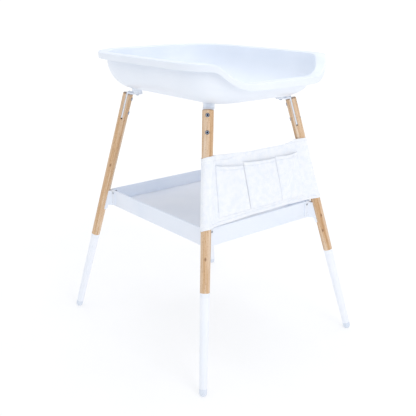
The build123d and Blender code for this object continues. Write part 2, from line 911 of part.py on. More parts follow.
def make_pocket(name):
    """Open-topped fabric pocket on the panel's front, deeper at its mouth than its foot."""
    face = panel_plane().offset(panel_thickness / 2)
    slope_up = face.y_dir
    base_height = organiser_bottom_height + pocket_above_hem
    foot = up_panel(base_height)
    top_height = base_height + pocket_height * math.cos(math.atan2(leg_run_y, leg_top_height))
    usable = leg_x_at(top_height) - leg_top_radius - sleeve_clearance - sleeve_thickness
    names = list(pocket_width_shares)
    shares = list(pocket_width_shares.values())
    index = names.index(name)
    cloth_width = 2 * (usable - pocket_side_margin) - (len(names) - 1) * pocket_gap
    width = cloth_width * shares[index]
    left = pocket_side_margin - usable + cloth_width * sum(shares[:index]) + index * pocket_gap
    middle = left + width / 2

    taper = min(pocket_side_taper, width / 4)

    def section(up, depth, inset):
        """Level section of the pocket, from behind the panel's face to its drawn-in front."""
        half, front = width / 2 - inset, depth - inset
        plane = Plane(origin=face.origin + slope_up * up, x_dir=(1, 0, 0), z_dir=slope_up)
        with BuildSketch(plane) as outline:
            with Locations((middle, 0)):
                Polygon(
                    (-half, panel_thickness / 2),
                    (half, panel_thickness / 2),
                    (half, 0),
                    (half - taper, -front),
                    (taper - half, -front),
                    (-half, 0),
                    align=None,
                )
        return outline.sketch

    outer_sections = [
        section(foot, pocket_bottom_depth, 0),
        section(foot + pocket_height, pocket_top_depth, 0),
    ]
    inner_sections = [
        section(foot + pocket_cloth, pocket_bottom_depth, pocket_cloth),
        section(foot + pocket_height + pocket_cloth, pocket_top_depth, pocket_cloth),
    ]
    behind = plane_block(face)
    with BuildPart() as pocket:
        loft(outer_sections)
        loft(inner_sections, mode=Mode.SUBTRACT)
        add(behind, mode=Mode.SUBTRACT)
    return pocket.part


# ---------------------------------------------------------------- write every piece

os.makedirs("parts", exist_ok=True)

write(make_tub(), "tub")
tray_ring = make_tray_ring()
write(make_tray_wall(tray_ring, 0, -1), "shelf_wall_front")
write(make_tray_wall(tray_ring, 0, 1), "shelf_wall_back")
write(make_tray_wall(tray_ring, -1, 0), "shelf_wall_left")
write(make_tray_wall(tray_ring, 1, 0), "shelf_wall_right")
write(make_tray_corners(tray_ring), "shelf_corners")
write(make_tray_ledges(), "shelf_ledges")
write(make_tray_floor(), "shelf_floor_panel")
for corner in corners:
    write(make_upper_leg(corner), f"upper_leg_{corner}")
    write(make_leg_collar(corner), f"leg_collar_{corner}")
    write(make_lower_leg(corner), f"lower_leg_{corner}")
    write(make_foot_cap(corner), f"foot_cap_{corner}")
    write(make_tub_bracket(corner), f"tub_bracket_{corner}")
    write(make_corner_bracket(corner), f"shelf_bracket_{corner}")

bolt_places = [(corner, depth) for corner in corners for depth in bolt_depths]
write(together([make_leg_bolt(*place) for place in bolt_places]), "leg_bolts")
write(together([make_leg_nut(*place) for place in bolt_places]), "leg_nuts")
write(together([make_stud(corner) for corner in corners]), "leg_studs")
write(together([make_leg_insert(corner) for corner in corners]), "leg_inserts")
write(together([make_tub_screw(corner) for corner in corners]), "tub_screws")
write(together([make_tub_washer(corner) for corner in corners]), "tub_washers")
write(together([make_tub_insert(corner) for corner in corners]), "tub_inserts")
write(together([make_corner_screw(corner) for corner in corners]), "shelf_bracket_screws")
write(together([make_corner_insert(corner) for corner in corners]), "shelf_inserts")
write(together([make_rivet(frame) for frame in rivet_frames()]), "tray_rivets")

write(make_sleeve("front_left"), "organiser_sleeve_left")
write(make_sleeve("front_right"), "organiser_sleeve_right")
write(make_panel(), "organiser_panel")
for pocket_name in pocket_width_shares:
    write(make_pocket(pocket_name), f"organiser_pocket_{pocket_name}")
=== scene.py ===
import logging
import math
from dataclasses import dataclass
from enum import Enum
from typing import Any, Sequence

import bpy
import numpy as np
from mathutils import Matrix, Vector


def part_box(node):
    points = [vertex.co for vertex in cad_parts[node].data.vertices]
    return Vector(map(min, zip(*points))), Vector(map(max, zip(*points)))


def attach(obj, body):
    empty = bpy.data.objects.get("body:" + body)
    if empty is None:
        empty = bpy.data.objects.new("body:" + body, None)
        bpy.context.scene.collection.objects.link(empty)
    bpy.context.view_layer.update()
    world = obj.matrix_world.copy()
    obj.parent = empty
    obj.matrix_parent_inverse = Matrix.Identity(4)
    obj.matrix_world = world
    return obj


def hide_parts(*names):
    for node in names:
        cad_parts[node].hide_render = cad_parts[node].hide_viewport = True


# A changing table: a moulded tub on four splayed legs, each turned in two lengths, with
# a tray between the legs and a cloth organiser sewn round the two front legs.
# Metres, +Z up, the front towards -Y, left towards -X.

log = logging.getLogger("changing_table")
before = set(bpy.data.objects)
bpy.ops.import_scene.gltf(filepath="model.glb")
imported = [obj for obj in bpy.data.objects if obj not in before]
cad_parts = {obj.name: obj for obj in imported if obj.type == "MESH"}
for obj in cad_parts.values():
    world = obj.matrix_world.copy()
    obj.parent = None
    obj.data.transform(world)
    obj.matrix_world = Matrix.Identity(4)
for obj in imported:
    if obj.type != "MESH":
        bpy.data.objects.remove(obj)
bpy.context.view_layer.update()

CORNERS = {"front_left": (-1, -1), "front_right": (1, -1), "back_left": (-1, 1), "back_right": (1, 1)}


# ------------------------------------------------------------------ colours and nodes


def linear(code: str) -> tuple[float, float, float, float]:
    """An sRGB hex colour as linear RGBA.

    Args:
        code: the colour as "#RRGGBB".
    Returns:
        Linear red, green, blue and an alpha of one.
    """
    parts = [int(code[i : i + 2], 16) / 255 for i in (1, 3, 5)]
    light = [c / 12.92 if c <= 0.04045 else ((c + 0.055) / 1.055) ** 2.4 for c in parts]
    return (light[0], light[1], light[2], 1.0)


def add_node(
    tree: bpy.types.NodeTree,
    kind: str,
    sockets: dict[Any, Any] | None = None,
    stops: Sequence[tuple[float, str]] = (),
    **settings: Any,
) -> bpy.types.Node:
    """Adds a node with its settings, socket values and links.

    Args:
        tree: the node tree it goes into.
        kind: the node's type name without "ShaderNode".
        sockets: input name or number to a value, or to the output socket that feeds it.
        stops: a colour ramp's (place, hex colour) pairs.
        settings: the node's own properties.
    Returns:
        The node.
    """
    node = tree.nodes.new("ShaderNode" + kind)
    for key, value in settings.items():
        setattr(node, key, value)
    for key, value in (sockets or {}).items():
        if isinstance(value, bpy.types.NodeSocket):
            tree.links.new(value, node.inputs[key])
        else:
            node.inputs[key].default_value = value
    if stops:
        ramp = node.color_ramp
        while len(ramp.elements) < len(stops):
            ramp.elements.new(0.5)
        for element, (place, code) in zip(ramp.elements, stops):
            element.position, element.color = place, linear(code)
    return node


def new_material(name: str) -> tuple[bpy.types.Material, bpy.types.NodeTree]:
    """An empty node material.

    Args:
        name: the material's name.
    Returns:
        The material and its node tree.
    """
    made = bpy.data.materials.new(name)
    made.use_nodes = True
    made.node_tree.nodes.clear()
    return made, made.node_tree


def ramp(
    tree: bpy.types.NodeTree, value: bpy.types.NodeSocket, *stops: tuple[float, str]
) -> bpy.types.NodeSocket:
    """A value turned into colour by a ramp's (place, hex colour) pairs."""
    return add_node(tree, "ValToRGB", {"Fac": value}, stops=stops).outputs["Color"]


def mapped(tree: bpy.types.NodeTree, value: bpy.types.NodeSocket, **ends: float) -> bpy.types.NodeSocket:
    """A value mapped from one range to another, clamped; ends are from_min, from_max, to_min, to_max."""
    named = {end.replace("_", " ").title(): at for end, at in ends.items()}
    return add_node(tree, "MapRange", {"Value": value, **named}).outputs["Result"]


def mixed(
    tree: bpy.types.NodeTree, share: Any, under: Any, over: Any, blend: str = "MULTIPLY"
) -> bpy.types.NodeSocket:
    """One colour laid over another.

    Args:
        tree: the node tree.
        share: how much of the upper colour shows, as a number or a socket.
        under: the lower colour.
        over: the upper colour.
        blend: the way they are combined.
    Returns:
        The colour.
    """
    sockets = {0: share, 6: under, 7: over}
    return add_node(tree, "Mix", sockets, data_type="RGBA", blend_type=blend).outputs[2]


def close_material(tree: bpy.types.NodeTree, shader: bpy.types.Node) -> None:
    """Joins a shader's first output to the material's output."""
    add_node(tree, "OutputMaterial", {"Surface": shader.outputs[0]})


def surface(
    tree: bpy.types.NodeTree,
    colour: bpy.types.NodeSocket,
    relief: bpy.types.NodeSocket,
    strength: float,
    depth_mm: float,
    more: dict[str, Any],
) -> None:
    """Finishes a material with a surface shader whose relief is a bump.

    Args:
        tree: the material's tree.
        colour: its colour.
        relief: the height of its relief, from 0 to 1.
        strength: how much of the relief shows.
        depth_mm: the relief's depth in millimetres.
        more: the shader's other sockets.
    """
    bump = add_node(tree, "Bump", {"Strength": strength, "Distance": depth_mm / 1000, "Height": relief})
    sockets = {"Base Color": colour, "Normal": bump.outputs["Normal"], **more}
    close_material(tree, add_node(tree, "BsdfPrincipled", sockets))


# ------------------------------------------------------------------ finishes


@dataclass(frozen=True)
class MouldedPlastic:
    """Injection-moulded polypropylene: soft satin sheen, a very fine etched grain."""

    name: str
    tone: str
    shade: str
    roughness: float
    grain_mm: float = 0.7
    grain_depth_mm: float = 0.012

    def build(self) -> bpy.types.Material:
        """Builds the material.

        Returns:
            The plastic, its grain on Object coordinates.
        """
        made, tree = new_material(self.name)
        place = add_node(tree, "TexCoord").outputs["Object"]
        # slow cloudiness of a large moulding, 120 mm across
        cloud = add_node(tree, "TexNoise", {"Vector": place, "Scale": 8.0, "Detail": 2.0, "Roughness": 0.4})
        colour = ramp(tree, cloud.outputs["Fac"], (0.3, self.shade), (0.7, self.tone))
        # etched mould grain, drawn at its real size
        grain = add_node(
            tree,
            "TexNoise",
            {"Vector": place, "Scale": 1000 / self.grain_mm, "Detail": 1.0, "Roughness": 0.5},
        )
        dull = mapped(
            tree, cloud.outputs["Fac"], to_min=self.roughness - 0.04, to_max=self.roughness + 0.05
        )
        more = {"Roughness": dull, "IOR": 1.49, "Coat Weight": 0.0}
        surface(tree, colour, grain.outputs["Fac"], 0.5, self.grain_depth_mm, more)
        return made


@dataclass(frozen=True)
class SprayedLacquer:
    """White lacquer sprayed on turned wood or steel: a faint orange peel under an even gloss."""

    name: str
    tone: str
    shade: str
    roughness: float
    peel_mm: float = 2.4
    peel_depth_mm: float = 0.02
    coat: float = 0.15

    def build(self) -> bpy.types.Material:
        """Builds the material.

        Returns:
            The lacquer, its peel on Object coordinates.
        """
        made, tree = new_material(self.name)
        place = add_node(tree, "TexCoord").outputs["Object"]
        film = add_node(tree, "TexNoise", {"Vector": place, "Scale": 22.0, "Detail": 3.0})
        colour = ramp(tree, film.outputs["Fac"], (0.3, self.shade), (0.7, self.tone))
        peel = add_node(tree, "TexNoise", {"Vector": place, "Scale": 1000 / self.peel_mm, "Detail": 1.0})
        dull = mapped(
            tree, film.outputs["Fac"], to_min=self.roughness - 0.03, to_max=self.roughness + 0.05
        )
        more = {"Roughness": dull, "IOR": 1.5, "Coat Weight": self.coat, "Coat Roughness": 0.2}
        surface(tree, colour, peel.outputs["Fac"], 0.6, self.peel_depth_mm, more)
        return made


@dataclass(frozen=True)
class PlatedMetal:
    """Turned and plated steel or brass: fine lathe marks that break the reflection up."""

    name: str
    tone: str
    shade: str
    roughness: float
    mark_mm: float = 0.35

    def build(self) -> bpy.types.Material:
        """Builds the material.

        Returns:
            The metal, its marks on Object coordinates.
        """
        made, tree = new_material(self.name)
        place = add_node(tree, "TexCoord").outputs["Object"]
        marks = add_node(
            tree, "TexNoise", {"Vector": place, "Scale": 1000 / self.mark_mm, "Detail": 2.0, "Roughness": 0.6}
        )
        stain = add_node(tree, "TexNoise", {"Vector": place, "Scale": 160.0, "Detail": 2.0})
        colour = ramp(tree, stain.outputs["Fac"], (0.3, self.shade), (0.7, self.tone))
        dull = mapped(
            tree, marks.outputs["Fac"], to_min=self.roughness - 0.07, to_max=self.roughness + 0.1
        )
        more = {"Roughness": dull, "Metallic": 1.0}
        surface(tree, colour, marks.outputs["Fac"], 0.4, 0.01, more)
        return made


@dataclass(frozen=True)
class TurnedBeech:
    """Beech turned between centres and clear-lacquered: straight streaks, fine dark flecks."""

    name: str
    pale: str
    mid: str
    dark: str
    fleck: str
    roughness: float

    def build(
        self, origin: Vector, axis: Vector, crown: float, knots: Sequence[tuple[float, float, float]]
    ) -> bpy.types.Material:
        """Builds the wood of one leg, its grain along that leg.

        Args:
            origin: the point of the leg's axis where the pattern starts.
            axis: the leg's direction, from the floor up.
            crown: how far along the axis the leg's sawn top end is.
            knots: places of small pin knots on the leg's surface.
        Returns:
            The wood, on Object coordinates turned into the leg's own frame.
        """
        made, tree = new_material(self.name)
        turn = axis.rotation_difference(Vector((0, 0, 1)))
        shift = -(turn @ origin)
        place = add_node(tree, "TexCoord").outputs["Object"]
        leg = add_node(
            tree, "Mapping", {"Vector": place, "Rotation": turn.to_euler("XYZ"), "Location": shift}
        ).outputs[0]

        def grain(across: float, along: float, detail: float, rough: float) -> bpy.types.NodeSocket:
            """Noise stretched along the leg, by its width and length in metres."""
            stretched = add_node(
                tree, "Mapping", {"Vector": leg, "Scale": (1 / across, 1 / across, 1 / along)}
            )
            return add_node(
                tree,
                "TexNoise",
                {"Vector": stretched.outputs[0], "Scale": 1.0, "Detail": detail, "Roughness": rough},
            ).outputs["Fac"]

        # growth rings cut lengthwise: bands about 9 mm wide that run for 300 mm
        colour = ramp(
            tree, grain(0.009, 0.30, 3.0, 0.55), (0.30, self.dark), (0.47, self.mid), (0.66, self.pale)
        )
        # fibres 1.1 mm wide, twice their real width
        fibres = grain(0.0011, 0.05, 2.0, 0.6)
        colour = mixed(tree, 0.55, colour, ramp(tree, fibres, (0.35, "#D2BBA0"), (0.65, "#FFFFFF")))
        # ray flecks, 0.8 by 5 mm, thinly scattered
        flecks = mapped(tree, grain(0.0008, 0.005, 0.0, 0.5), from_min=0.70, from_max=0.80)
        colour = mixed(tree, flecks, colour, linear(self.fleck))
        for knot in knots:
            # a pin knot 9 mm across and 16 mm along the leg, fading from its middle to its edge
            scale = Vector((1 / 0.0045, 1 / 0.0045, 1 / 0.008))
            spot = add_node(
                tree, "Mapping", {"Vector": leg, "Location": -Vector(knot) * scale, "Scale": scale}
            )
            far = add_node(tree, "VectorMath", {0: spot.outputs[0]}, operation="LENGTH")
            dark = mapped(tree, far.outputs["Value"], from_min=1.0, from_max=0.3, to_max=0.75)
            colour = mixed(tree, dark, colour, linear("#7A4B26"), "MIX")
        # painted shade: the top 4 mm go dark, standing for the shade under the bracket plate
        height = add_node(tree, "SeparateXYZ", {"Vector": leg}).outputs["Z"]
        end = mapped(tree, height, from_min=crown - 0.0045, from_max=crown - 0.0005, to_max=0.8)
        colour = mixed(tree, end, colour, linear("#7B5530"), "MIX")
        dull = mapped(tree, fibres, to_min=self.roughness - 0.06, to_max=self.roughness + 0.08)
        more = {"Roughness": dull, "IOR": 1.5, "Coat Weight": 0.2, "Coat Roughness": 0.25}
        surface(tree, colour, fibres, 0.5, 0.08, more)
        return made


@dataclass(frozen=True)
class WovenCloth:
    """Plain-woven polyester canvas: matt, with a thread pattern and a little fuzz at the edges."""

    name: str
    tone: str
    shade: str
    thread_mm: float = 1.0
    thread_depth_mm: float = 0.05
    sheen: float = 0.25

    def build(self) -> bpy.types.Material:
        """Builds the material.

        Returns:
            The cloth, its weave on the piece's UV map, which is in metres.
        """
        made, tree = new_material(self.name)
        flat = add_node(tree, "TexCoord").outputs["UV"]
        place = add_node(tree, "TexCoord").outputs["Object"]
        # 0.5 mm threads drawn 1 mm apart; a wave's bands repeat every 2 pi / 20 / scale
        rate = 2 * math.pi / 20 / (self.thread_mm / 1000)
        threads = [
            add_node(
                tree,
                "TexWave",
                {"Vector": flat, "Scale": rate, "Distortion": 0.4, "Detail": 1.0, "Detail Scale": 3.0},
                bands_direction=way,
                wave_profile="SIN",
            ).outputs["Fac"]
            for way in ("X", "Y")
        ]
        weave = add_node(tree, "Math", {0: threads[0], 1: threads[1]}, operation="MULTIPLY")
        slub = add_node(tree, "TexNoise", {"Vector": place, "Scale": 60.0, "Detail": 3.0})
        colour = ramp(tree, slub.outputs["Fac"], (0.35, self.shade), (0.6, self.tone))
        # painted shade: the hollows between the threads are drawn a little darker
        weave_hollow_shade = ramp(tree, weave.outputs["Value"], (0.0, "#F4F6FA"), (0.35, "#FFFFFF"))
        more = {
            "Roughness": 0.85,
            "IOR": 1.5,
            "Specular IOR Level": 0.25,
            "Sheen Weight": self.sheen,
            "Sheen Roughness": 0.5,
        }
        colour = mixed(tree, 1.0, colour, weave_hollow_shade)
        surface(tree, colour, weave.outputs["Value"], 0.5, self.thread_depth_mm, more)
        return made


TUB_PLASTIC = MouldedPlastic("polypropylene_moulded_white", "#EFF4FC", "#EAF0F9", 0.34)
TRAY_PLASTIC = MouldedPlastic("polypropylene_moulded_tray", "#EFF4FD", "#E9F0FB", 0.42)
FLOOR_PANEL = MouldedPlastic("polypropylene_textured_panel", "#F3F5FA", "#EDF0F7", 0.55, 1.6, 0.05)
CAP_PLASTIC = MouldedPlastic("nylon_moulded_foot", "#E6ECF5", "#DCE4F0", 0.5, 0.9, 0.02)
COLLAR_PLASTIC = MouldedPlastic("nylon_turned_collar", "#F6F9FE", "#EEF3FB", 0.36, 0.9, 0.015)
LEG_LACQUER = SprayedLacquer("lacquer_on_turned_wood", "#F8FAFF", "#F2F6FE", 0.32)
STEEL_LACQUER = SprayedLacquer("powder_coat_on_steel", "#EEF2F9", "#E4EAF4", 0.45, 1.2, 0.03, 0.0)
ZINC_STEEL = PlatedMetal("steel_zinc_plated", "#B9C4D6", "#8F9CB4", 0.32)
RIVET_NYLON = MouldedPlastic("nylon_moulded_rivet", "#A9AFBA", "#9BA2AE", 0.45, 0.9, 0.01)
# painted shade: a dark steel laid on the bolts' sockets, head edges and sides, standing for the shade in
# their counterbores
RECESS_SHADE_STEEL = PlatedMetal("steel_painted_recess_shade", "#33363D", "#23252B", 0.5)
BRASS = PlatedMetal("brass_turned", "#C9A65A", "#A8843C", 0.34)
CANVAS = WovenCloth("polyester_canvas_plain_weave", "#FCFDFF", "#F5F8FD")
THREAD = WovenCloth("polyester_sewing_thread", "#F1F4FA", "#E6EBF4", 0.3, 0.05)


# ------------------------------------------------------------------ a leg's own sizes

LEG_TOP = (0.178, 0.225, 0.850)  # the end of a leg's axis, from the middle of the floor
LEG_RUN = (0.165, 0.174)  # how much further out the axis meets the floor
LEG_RADIUS = 0.018  # at its top
LEG_TAPER = 0.0027  # what the radius loses
LEG_WOOD = 0.560  # over this length


# ------------------------------------------------------------------ meshes


def grid_faces(rows: int, cols: int, wrap_rows: bool, wrap_cols: bool) -> np.ndarray:
    """Quads that join neighbouring points of a grid.

    Args:
        rows: number of rows.
        cols: number of points in each row.
        wrap_rows: whether the last row joins the first.
        wrap_cols: whether each row closes on itself.
    Returns:
        The quads' point numbers, four to a row.
    """
    i, j = np.meshgrid(
        np.arange(rows if wrap_rows else rows - 1),
        np.arange(cols if wrap_cols else cols - 1),
        indexing="ij",
    )
    below, right = (i + 1) % rows, (j + 1) % cols
    quads = np.stack([i * cols + j, i * cols + right, below * cols + right, below * cols + j], -1)
    return quads.reshape(-1, 4)


def signed_volume(points: np.ndarray, quads: np.ndarray, fans: np.ndarray) -> float:
    """Volume that faces enclose: the sum of a . (b x c) over their triangles, over six.

    Args:
        points: the points.
        quads: four-sided faces.
        fans: three-sided faces.
    Returns:
        The volume, negative if the faces point inwards.
    """
    triangles = np.concatenate([quads[:, [0, 1, 2]], quads[:, [0, 2, 3]], fans.reshape(-1, 3)])
    a, b, c = (points[triangles[:, k]] for k in range(3))
    return float((a * np.cross(b, c)).sum() / 6)


def make_object(
    name: str,
    points: np.ndarray,
    quads: np.ndarray,
    fans: np.ndarray | None = None,
    uv: np.ndarray | None = None,
) -> bpy.types.Object:
    """A smooth-shaded mesh object at the origin.

    Args:
        name: the piece's name.
        points: its points, three numbers each.
        quads: its four-sided faces.
        fans: its three-sided faces.
        uv: two numbers for each point, in metres along the surface.
    Returns:
        The object, linked to the scene.
    """
    three = np.zeros((0, 3), int) if fans is None else fans
    mesh = bpy.data.meshes.new(name)
    mesh.from_pydata(points.tolist(), [], quads.tolist() + three.tolist())
    mesh.polygons.foreach_set("use_smooth", np.ones(len(mesh.polygons), bool))
    if uv is not None:
        corner = np.zeros(len(mesh.loops), np.int32)
        mesh.loops.foreach_get("vertex_index", corner)
        layer = mesh.uv_layers.new(name="cloth")
        layer.data.foreach_set("uv", uv[corner].astype(np.float32).ravel())
    mesh.update()
    made = bpy.data.objects.new(name, mesh)
    bpy.context.scene.collection.objects.link(made)
    return made


def closed_shell(
    rings: np.ndarray, start: np.ndarray | None = None, end: np.ndarray | None = None
) -> tuple[np.ndarray, np.ndarray, np.ndarray]:
    """Points and faces of a closed skin over a stack of closed rings, faces outwards.

    Args:
        rings: the rings' points, by ring, place round it, and x, y, z.
        start: the pole that closes the first ring; with no poles the last ring joins it.
        end: the pole that closes the last ring.
    Returns:
        Points, four-sided faces and three-sided faces.
    """
    count, around = rings.shape[:2]
    points = rings.reshape(-1, 3)
    quads = grid_faces(count, around, start is None, True)
    fans = np.zeros((0, 3), int)
    if start is not None and end is not None:
        j = np.arange(around)
        k = (j + 1) % around
        last = (count - 1) * around
        first_fan = np.stack([np.full(around, len(points)), k, j], 1)
        last_fan = np.stack([np.full(around, len(points) + 1), last + j, last + k], 1)
        fans = np.concatenate([first_fan, last_fan])
        points = np.concatenate([points, [start, end]])
    if signed_volume(points, quads, fans) < 0:
        quads, fans = quads[:, ::-1], fans[:, ::-1]
    return points, quads, fans


def joined(parts: Sequence[tuple[np.ndarray, np.ndarray, np.ndarray]]) -> tuple[np.ndarray, ...]:
    """Several shells as one set of points and faces.

    Args:
        parts: (points, quads, fans) of each shell.
    Returns:
        The joined points, quads and fans.
    """
    starts = np.cumsum([0] + [len(p) for p, _, _ in parts[:-1]])
    return (
        np.concatenate([p for p, _, _ in parts]),
        np.concatenate([q + s for (_, q, _), s in zip(parts, starts)]),
        np.concatenate([f + s for (_, _, f), s in zip(parts, starts)]),
    )


def smooth_step(value: np.ndarray | float, low: float, high: float) -> np.ndarray:
    """Eases from 0 at low to 1 at high: t squared times (3 - 2t)."""
    t = np.clip((np.asarray(value, float) - low) / (high - low), 0, 1)
    return t * t * (3 - 2 * t)


def place(piece: bpy.types.Object, slot: str, replaced: Sequence[str] = ()) -> None:
    """Gives a new piece its body and hides the CAD nodes it stands for.

    Args:
        piece: the new piece.
        slot: not used.
        replaced: CAD nodes that the piece stands for.
    """
    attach(piece, "root")
    if replaced:
        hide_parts(*replaced)
    log.info("%s: %d faces", piece.name, len(piece.data.polygons))


def dress(node: str, finish: bpy.types.Material) -> None:
    """Puts a finish on a CAD node, which keeps its own shape.

    Args:
        node: the CAD node's name.
        finish: its new material.
    """
    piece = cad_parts[node]
    for spot in piece.material_slots:
        spot.link = "OBJECT"
        spot.material = finish
    log.info("%s: %s", node, finish.name)


@dataclass(frozen=True)
class Outline:
    """A closed plan: straight sides joined by corners whose turning eases in and out."""

    half_width: float
    half_depth: float
    corner_reach: float  # how far along each side a corner starts
    centre_y: float = 0.0
    ease: float = 0.25  # the share of a corner over which its turning builds up
    corner_points: int = 64
    side_points: int = 14

    def points(self) -> tuple[np.ndarray, np.ndarray]:
        """Points round the outline and the outward normals there.

        The heading turns by the integral of a trapezoid, scaled to a quarter turn, and the
        corner's path is the integral of that heading, scaled to the corner's reach.

        Returns:
            Points and normals, two numbers each, anticlockwise from the middle of the right.
        """
        fine = np.linspace(0, 1, 4001)
        turning = np.clip(np.minimum(fine, 1 - fine) / self.ease, 0, 1)
        angle = np.concatenate([[0], np.cumsum((turning[1:] + turning[:-1]) / 2)])
        angle *= math.pi / 2 / angle[-1]
        step = (np.cos(angle[1:]) + np.cos(angle[:-1])) / 2
        rise = np.concatenate([[0], np.cumsum(step)]) * self.corner_reach / step.sum()
        at = np.linspace(0, 1, self.corner_points)
        turn = np.interp(at, fine, angle)
        up = np.interp(at, fine, rise)
        x = self.half_width - (self.corner_reach - up[::-1])
        y = self.half_depth - self.corner_reach + up
        side = np.linspace(0, 1, self.side_points, endpoint=False)
        quarter_x = np.concatenate(
            [np.full(self.side_points, self.half_width), x, side[::-1] * x[-1]]
        )
        quarter_y = np.concatenate([side * y[0], y, np.full(self.side_points, self.half_depth)])
        turned = np.concatenate(
            [np.zeros(self.side_points), turn, np.full(self.side_points, math.pi / 2)]
        )
        line = np.stack([quarter_x, quarter_y], 1)
        normal = np.stack([np.cos(turned), np.sin(turned)], 1)
        line, normal = line[:-1], normal[:-1]  # the next quarter starts where this one ends
        half = np.concatenate([line, self.middle_top(), (line * (-1, 1))[:0:-1]])
        half_normal = np.concatenate([normal, [[0.0, 1.0]], (normal * (-1, 1))[:0:-1]])
        whole = np.concatenate([half, [[-self.half_width, 0.0]], (half * (1, -1))[:0:-1]])
        whole_normal = np.concatenate([half_normal, [[-1.0, 0.0]], (half_normal * (1, -1))[:0:-1]])
        return whole + (0, self.centre_y), whole_normal

    def middle_top(self) -> np.ndarray:
        """The outline's point in the middle of the back."""
        return np.array([[0.0, self.half_depth]])


# ------------------------------------------------------------------ tub


@dataclass
class Tub:
    """The moulded tub: bowl, outward lip with a turned-down skirt, front dip and bosses."""

    corner_reach: float = 0.222
    overhang: float = 0.030
    wall: float = 0.004
    skirt: float = 0.022
    bowl_radius: float = 0.098
    boss_radius: float = 0.018
    boss_height: float = 0.014
    dip_depth: float = 0.058
    dip_low: float = 0.171
    dip_high: float = 0.229
    dip_low_radius: float = 0.110
    dip_high_radius: float = 0.025
    inner_round: float = 0.004
    outer_round: float = 0.0035
    under_round: float = 0.003

    def __post_init__(self) -> None:
        """Takes the overall sizes from the CAD tub."""
        low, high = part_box("tub")
        self.outline = Outline(
            (high.x - low.x) / 2, (high.y - low.y) / 2, self.corner_reach, (high.y + low.y) / 2
        )
        self.rim = high.z
        self.bottom = low.z + self.boss_height
        self.floor = self.bottom + self.wall
        self.line, self.normal = self.outline.points()

    def rim_height(self, x: np.ndarray, y: np.ndarray) -> np.ndarray:
        """The lip's height: level, and dipped in front along an S of two arcs and a slope.

        The slope is at 45 degrees. An arc of radius R leaves a level line by
        R - sqrt(R squared - distance squared).

        Args:
            x: places across the tub.
            y: places along it, negative in front.
        Returns:
            Heights above the floor.
        """
        tangent = math.tan(math.pi / 8)
        root = math.sqrt(0.5)
        big, small = self.dip_low_radius, self.dip_high_radius
        first = self.dip_low - big * tangent
        last = self.dip_high + small * tangent
        far = np.abs(x)
        low_arc = big - np.sqrt(np.maximum(big**2 - np.clip(far - first, 0, big * root) ** 2, 0))
        high_arc = small - np.sqrt(np.maximum(small**2 - np.clip(last - far, 0, small * root) ** 2, 0))
        slope = np.clip(far - (first + big * root), 0, last - small * root - first - big * root)
        lift = np.where(far > last - small * root, self.dip_depth - high_arc, low_arc + slope)
        return np.where(y < 0, self.rim - self.dip_depth + lift, self.rim)

    def at(self, inset: np.ndarray | float) -> np.ndarray:
        """Plan points at an inset from the outline: each point moved back along its normal."""
        return self.line - np.reshape(inset, (-1, 1)) * self.normal

    def ring(self, inset: np.ndarray | float, height: np.ndarray | float) -> np.ndarray:
        """A ring at an inset and a height.

        Args:
            inset: distance inside the outline, one number or one for each place.
            height: height above the floor, likewise.
        Returns:
            The ring's points.
        """
        flat = self.at(np.broadcast_to(inset, len(self.line)))
        return np.column_stack([flat, np.broadcast_to(height, len(self.line))])

    def wall_inset(self, base: float, height: np.ndarray) -> np.ndarray:
        """How far in the bowl's wall is at a height above its own lowest level.

        A quarter circle of the bowl's radius, then upright:
        base + R - sqrt(R squared - (R - height) squared).
        """
        r = self.bowl_radius
        return base + r - np.sqrt(r**2 - (r - np.clip(height, 0, r)) ** 2)

    def wall_top(self, base: float, level: float, below: float) -> tuple[np.ndarray, np.ndarray]:
        """Where a bowl wall meets the lip, which dips, by repeated correction.

        Args:
            base: the wall's inset where it is upright.
            level: the height of the wall's lowest level.
            below: how far under the lip's top the wall ends.
        Returns:
            Its inset and its height above the lowest level, at each place round the tub.
        """
        inset = np.full(len(self.line), base)
        height = np.zeros(len(self.line))
        for _ in range(8):
            flat = self.at(inset)
            height = self.rim_height(flat[:, 0], flat[:, 1]) - below - level
            inset = self.wall_inset(base, height)
        return inset, height

    def wall_rings(self, base: float, level: float, height: np.ndarray, count: int) -> list[np.ndarray]:
        """Rings up a bowl wall, evenly spaced along its section.

        Args:
            base: the wall's inset where it is upright.
            level: the height of the wall's lowest level.
            height: how high the wall goes at each place.
            count: number of rings.
        Returns:
            The rings, lowest first.
        """
        r = self.bowl_radius
        curved = np.arccos(1 - np.minimum(height, r) / r) * r
        total = curved + np.maximum(height - r, 0)
        rings = []
        for share in np.linspace(0, 1, count):
            along = total * share
            turn = np.minimum(along, curved) / r
            up = r * (1 - np.cos(turn)) + np.maximum(along - curved, 0)
            rings.append(self.ring(base + r * (1 - np.sin(turn)), level + up))
        return rings

    def lip_ring(self, inset: np.ndarray | float, drop: np.ndarray | float) -> np.ndarray:
        """A ring that follows the lip's top surface, lowered by drop."""
        flat = self.at(np.broadcast_to(inset, len(self.line)))
        return np.column_stack([flat, self.rim_height(flat[:, 0], flat[:, 1]) - drop])

    def bowl(self) -> tuple[np.ndarray, np.ndarray, np.ndarray]:
        """The bowl, lip and skirt as one closed skin, from the inner floor round to the underside.

        Returns:
            Points, four-sided faces and three-sided faces.
        """
        centre = np.array([0.0, self.outline.centre_y])
        quarter = np.linspace(0, math.pi / 2, 6)
        inner_base, outer_base = self.overhang + self.wall, self.overhang
        top_inset, top_height = self.wall_top(inner_base, self.floor, self.inner_round)
        rings = []

        def disc(base: float, level: float) -> list[np.ndarray]:
            """Rings of a flat floor, from near its centre outwards."""
            edge = self.ring(base + self.bowl_radius, level)
            spread = [edge.copy() for _ in range(6)]
            for share, one in zip((0.06, 0.25, 0.45, 0.65, 0.82, 0.94), spread):
                one[:, :2] = centre + (edge[:, :2] - centre) * share
            return spread

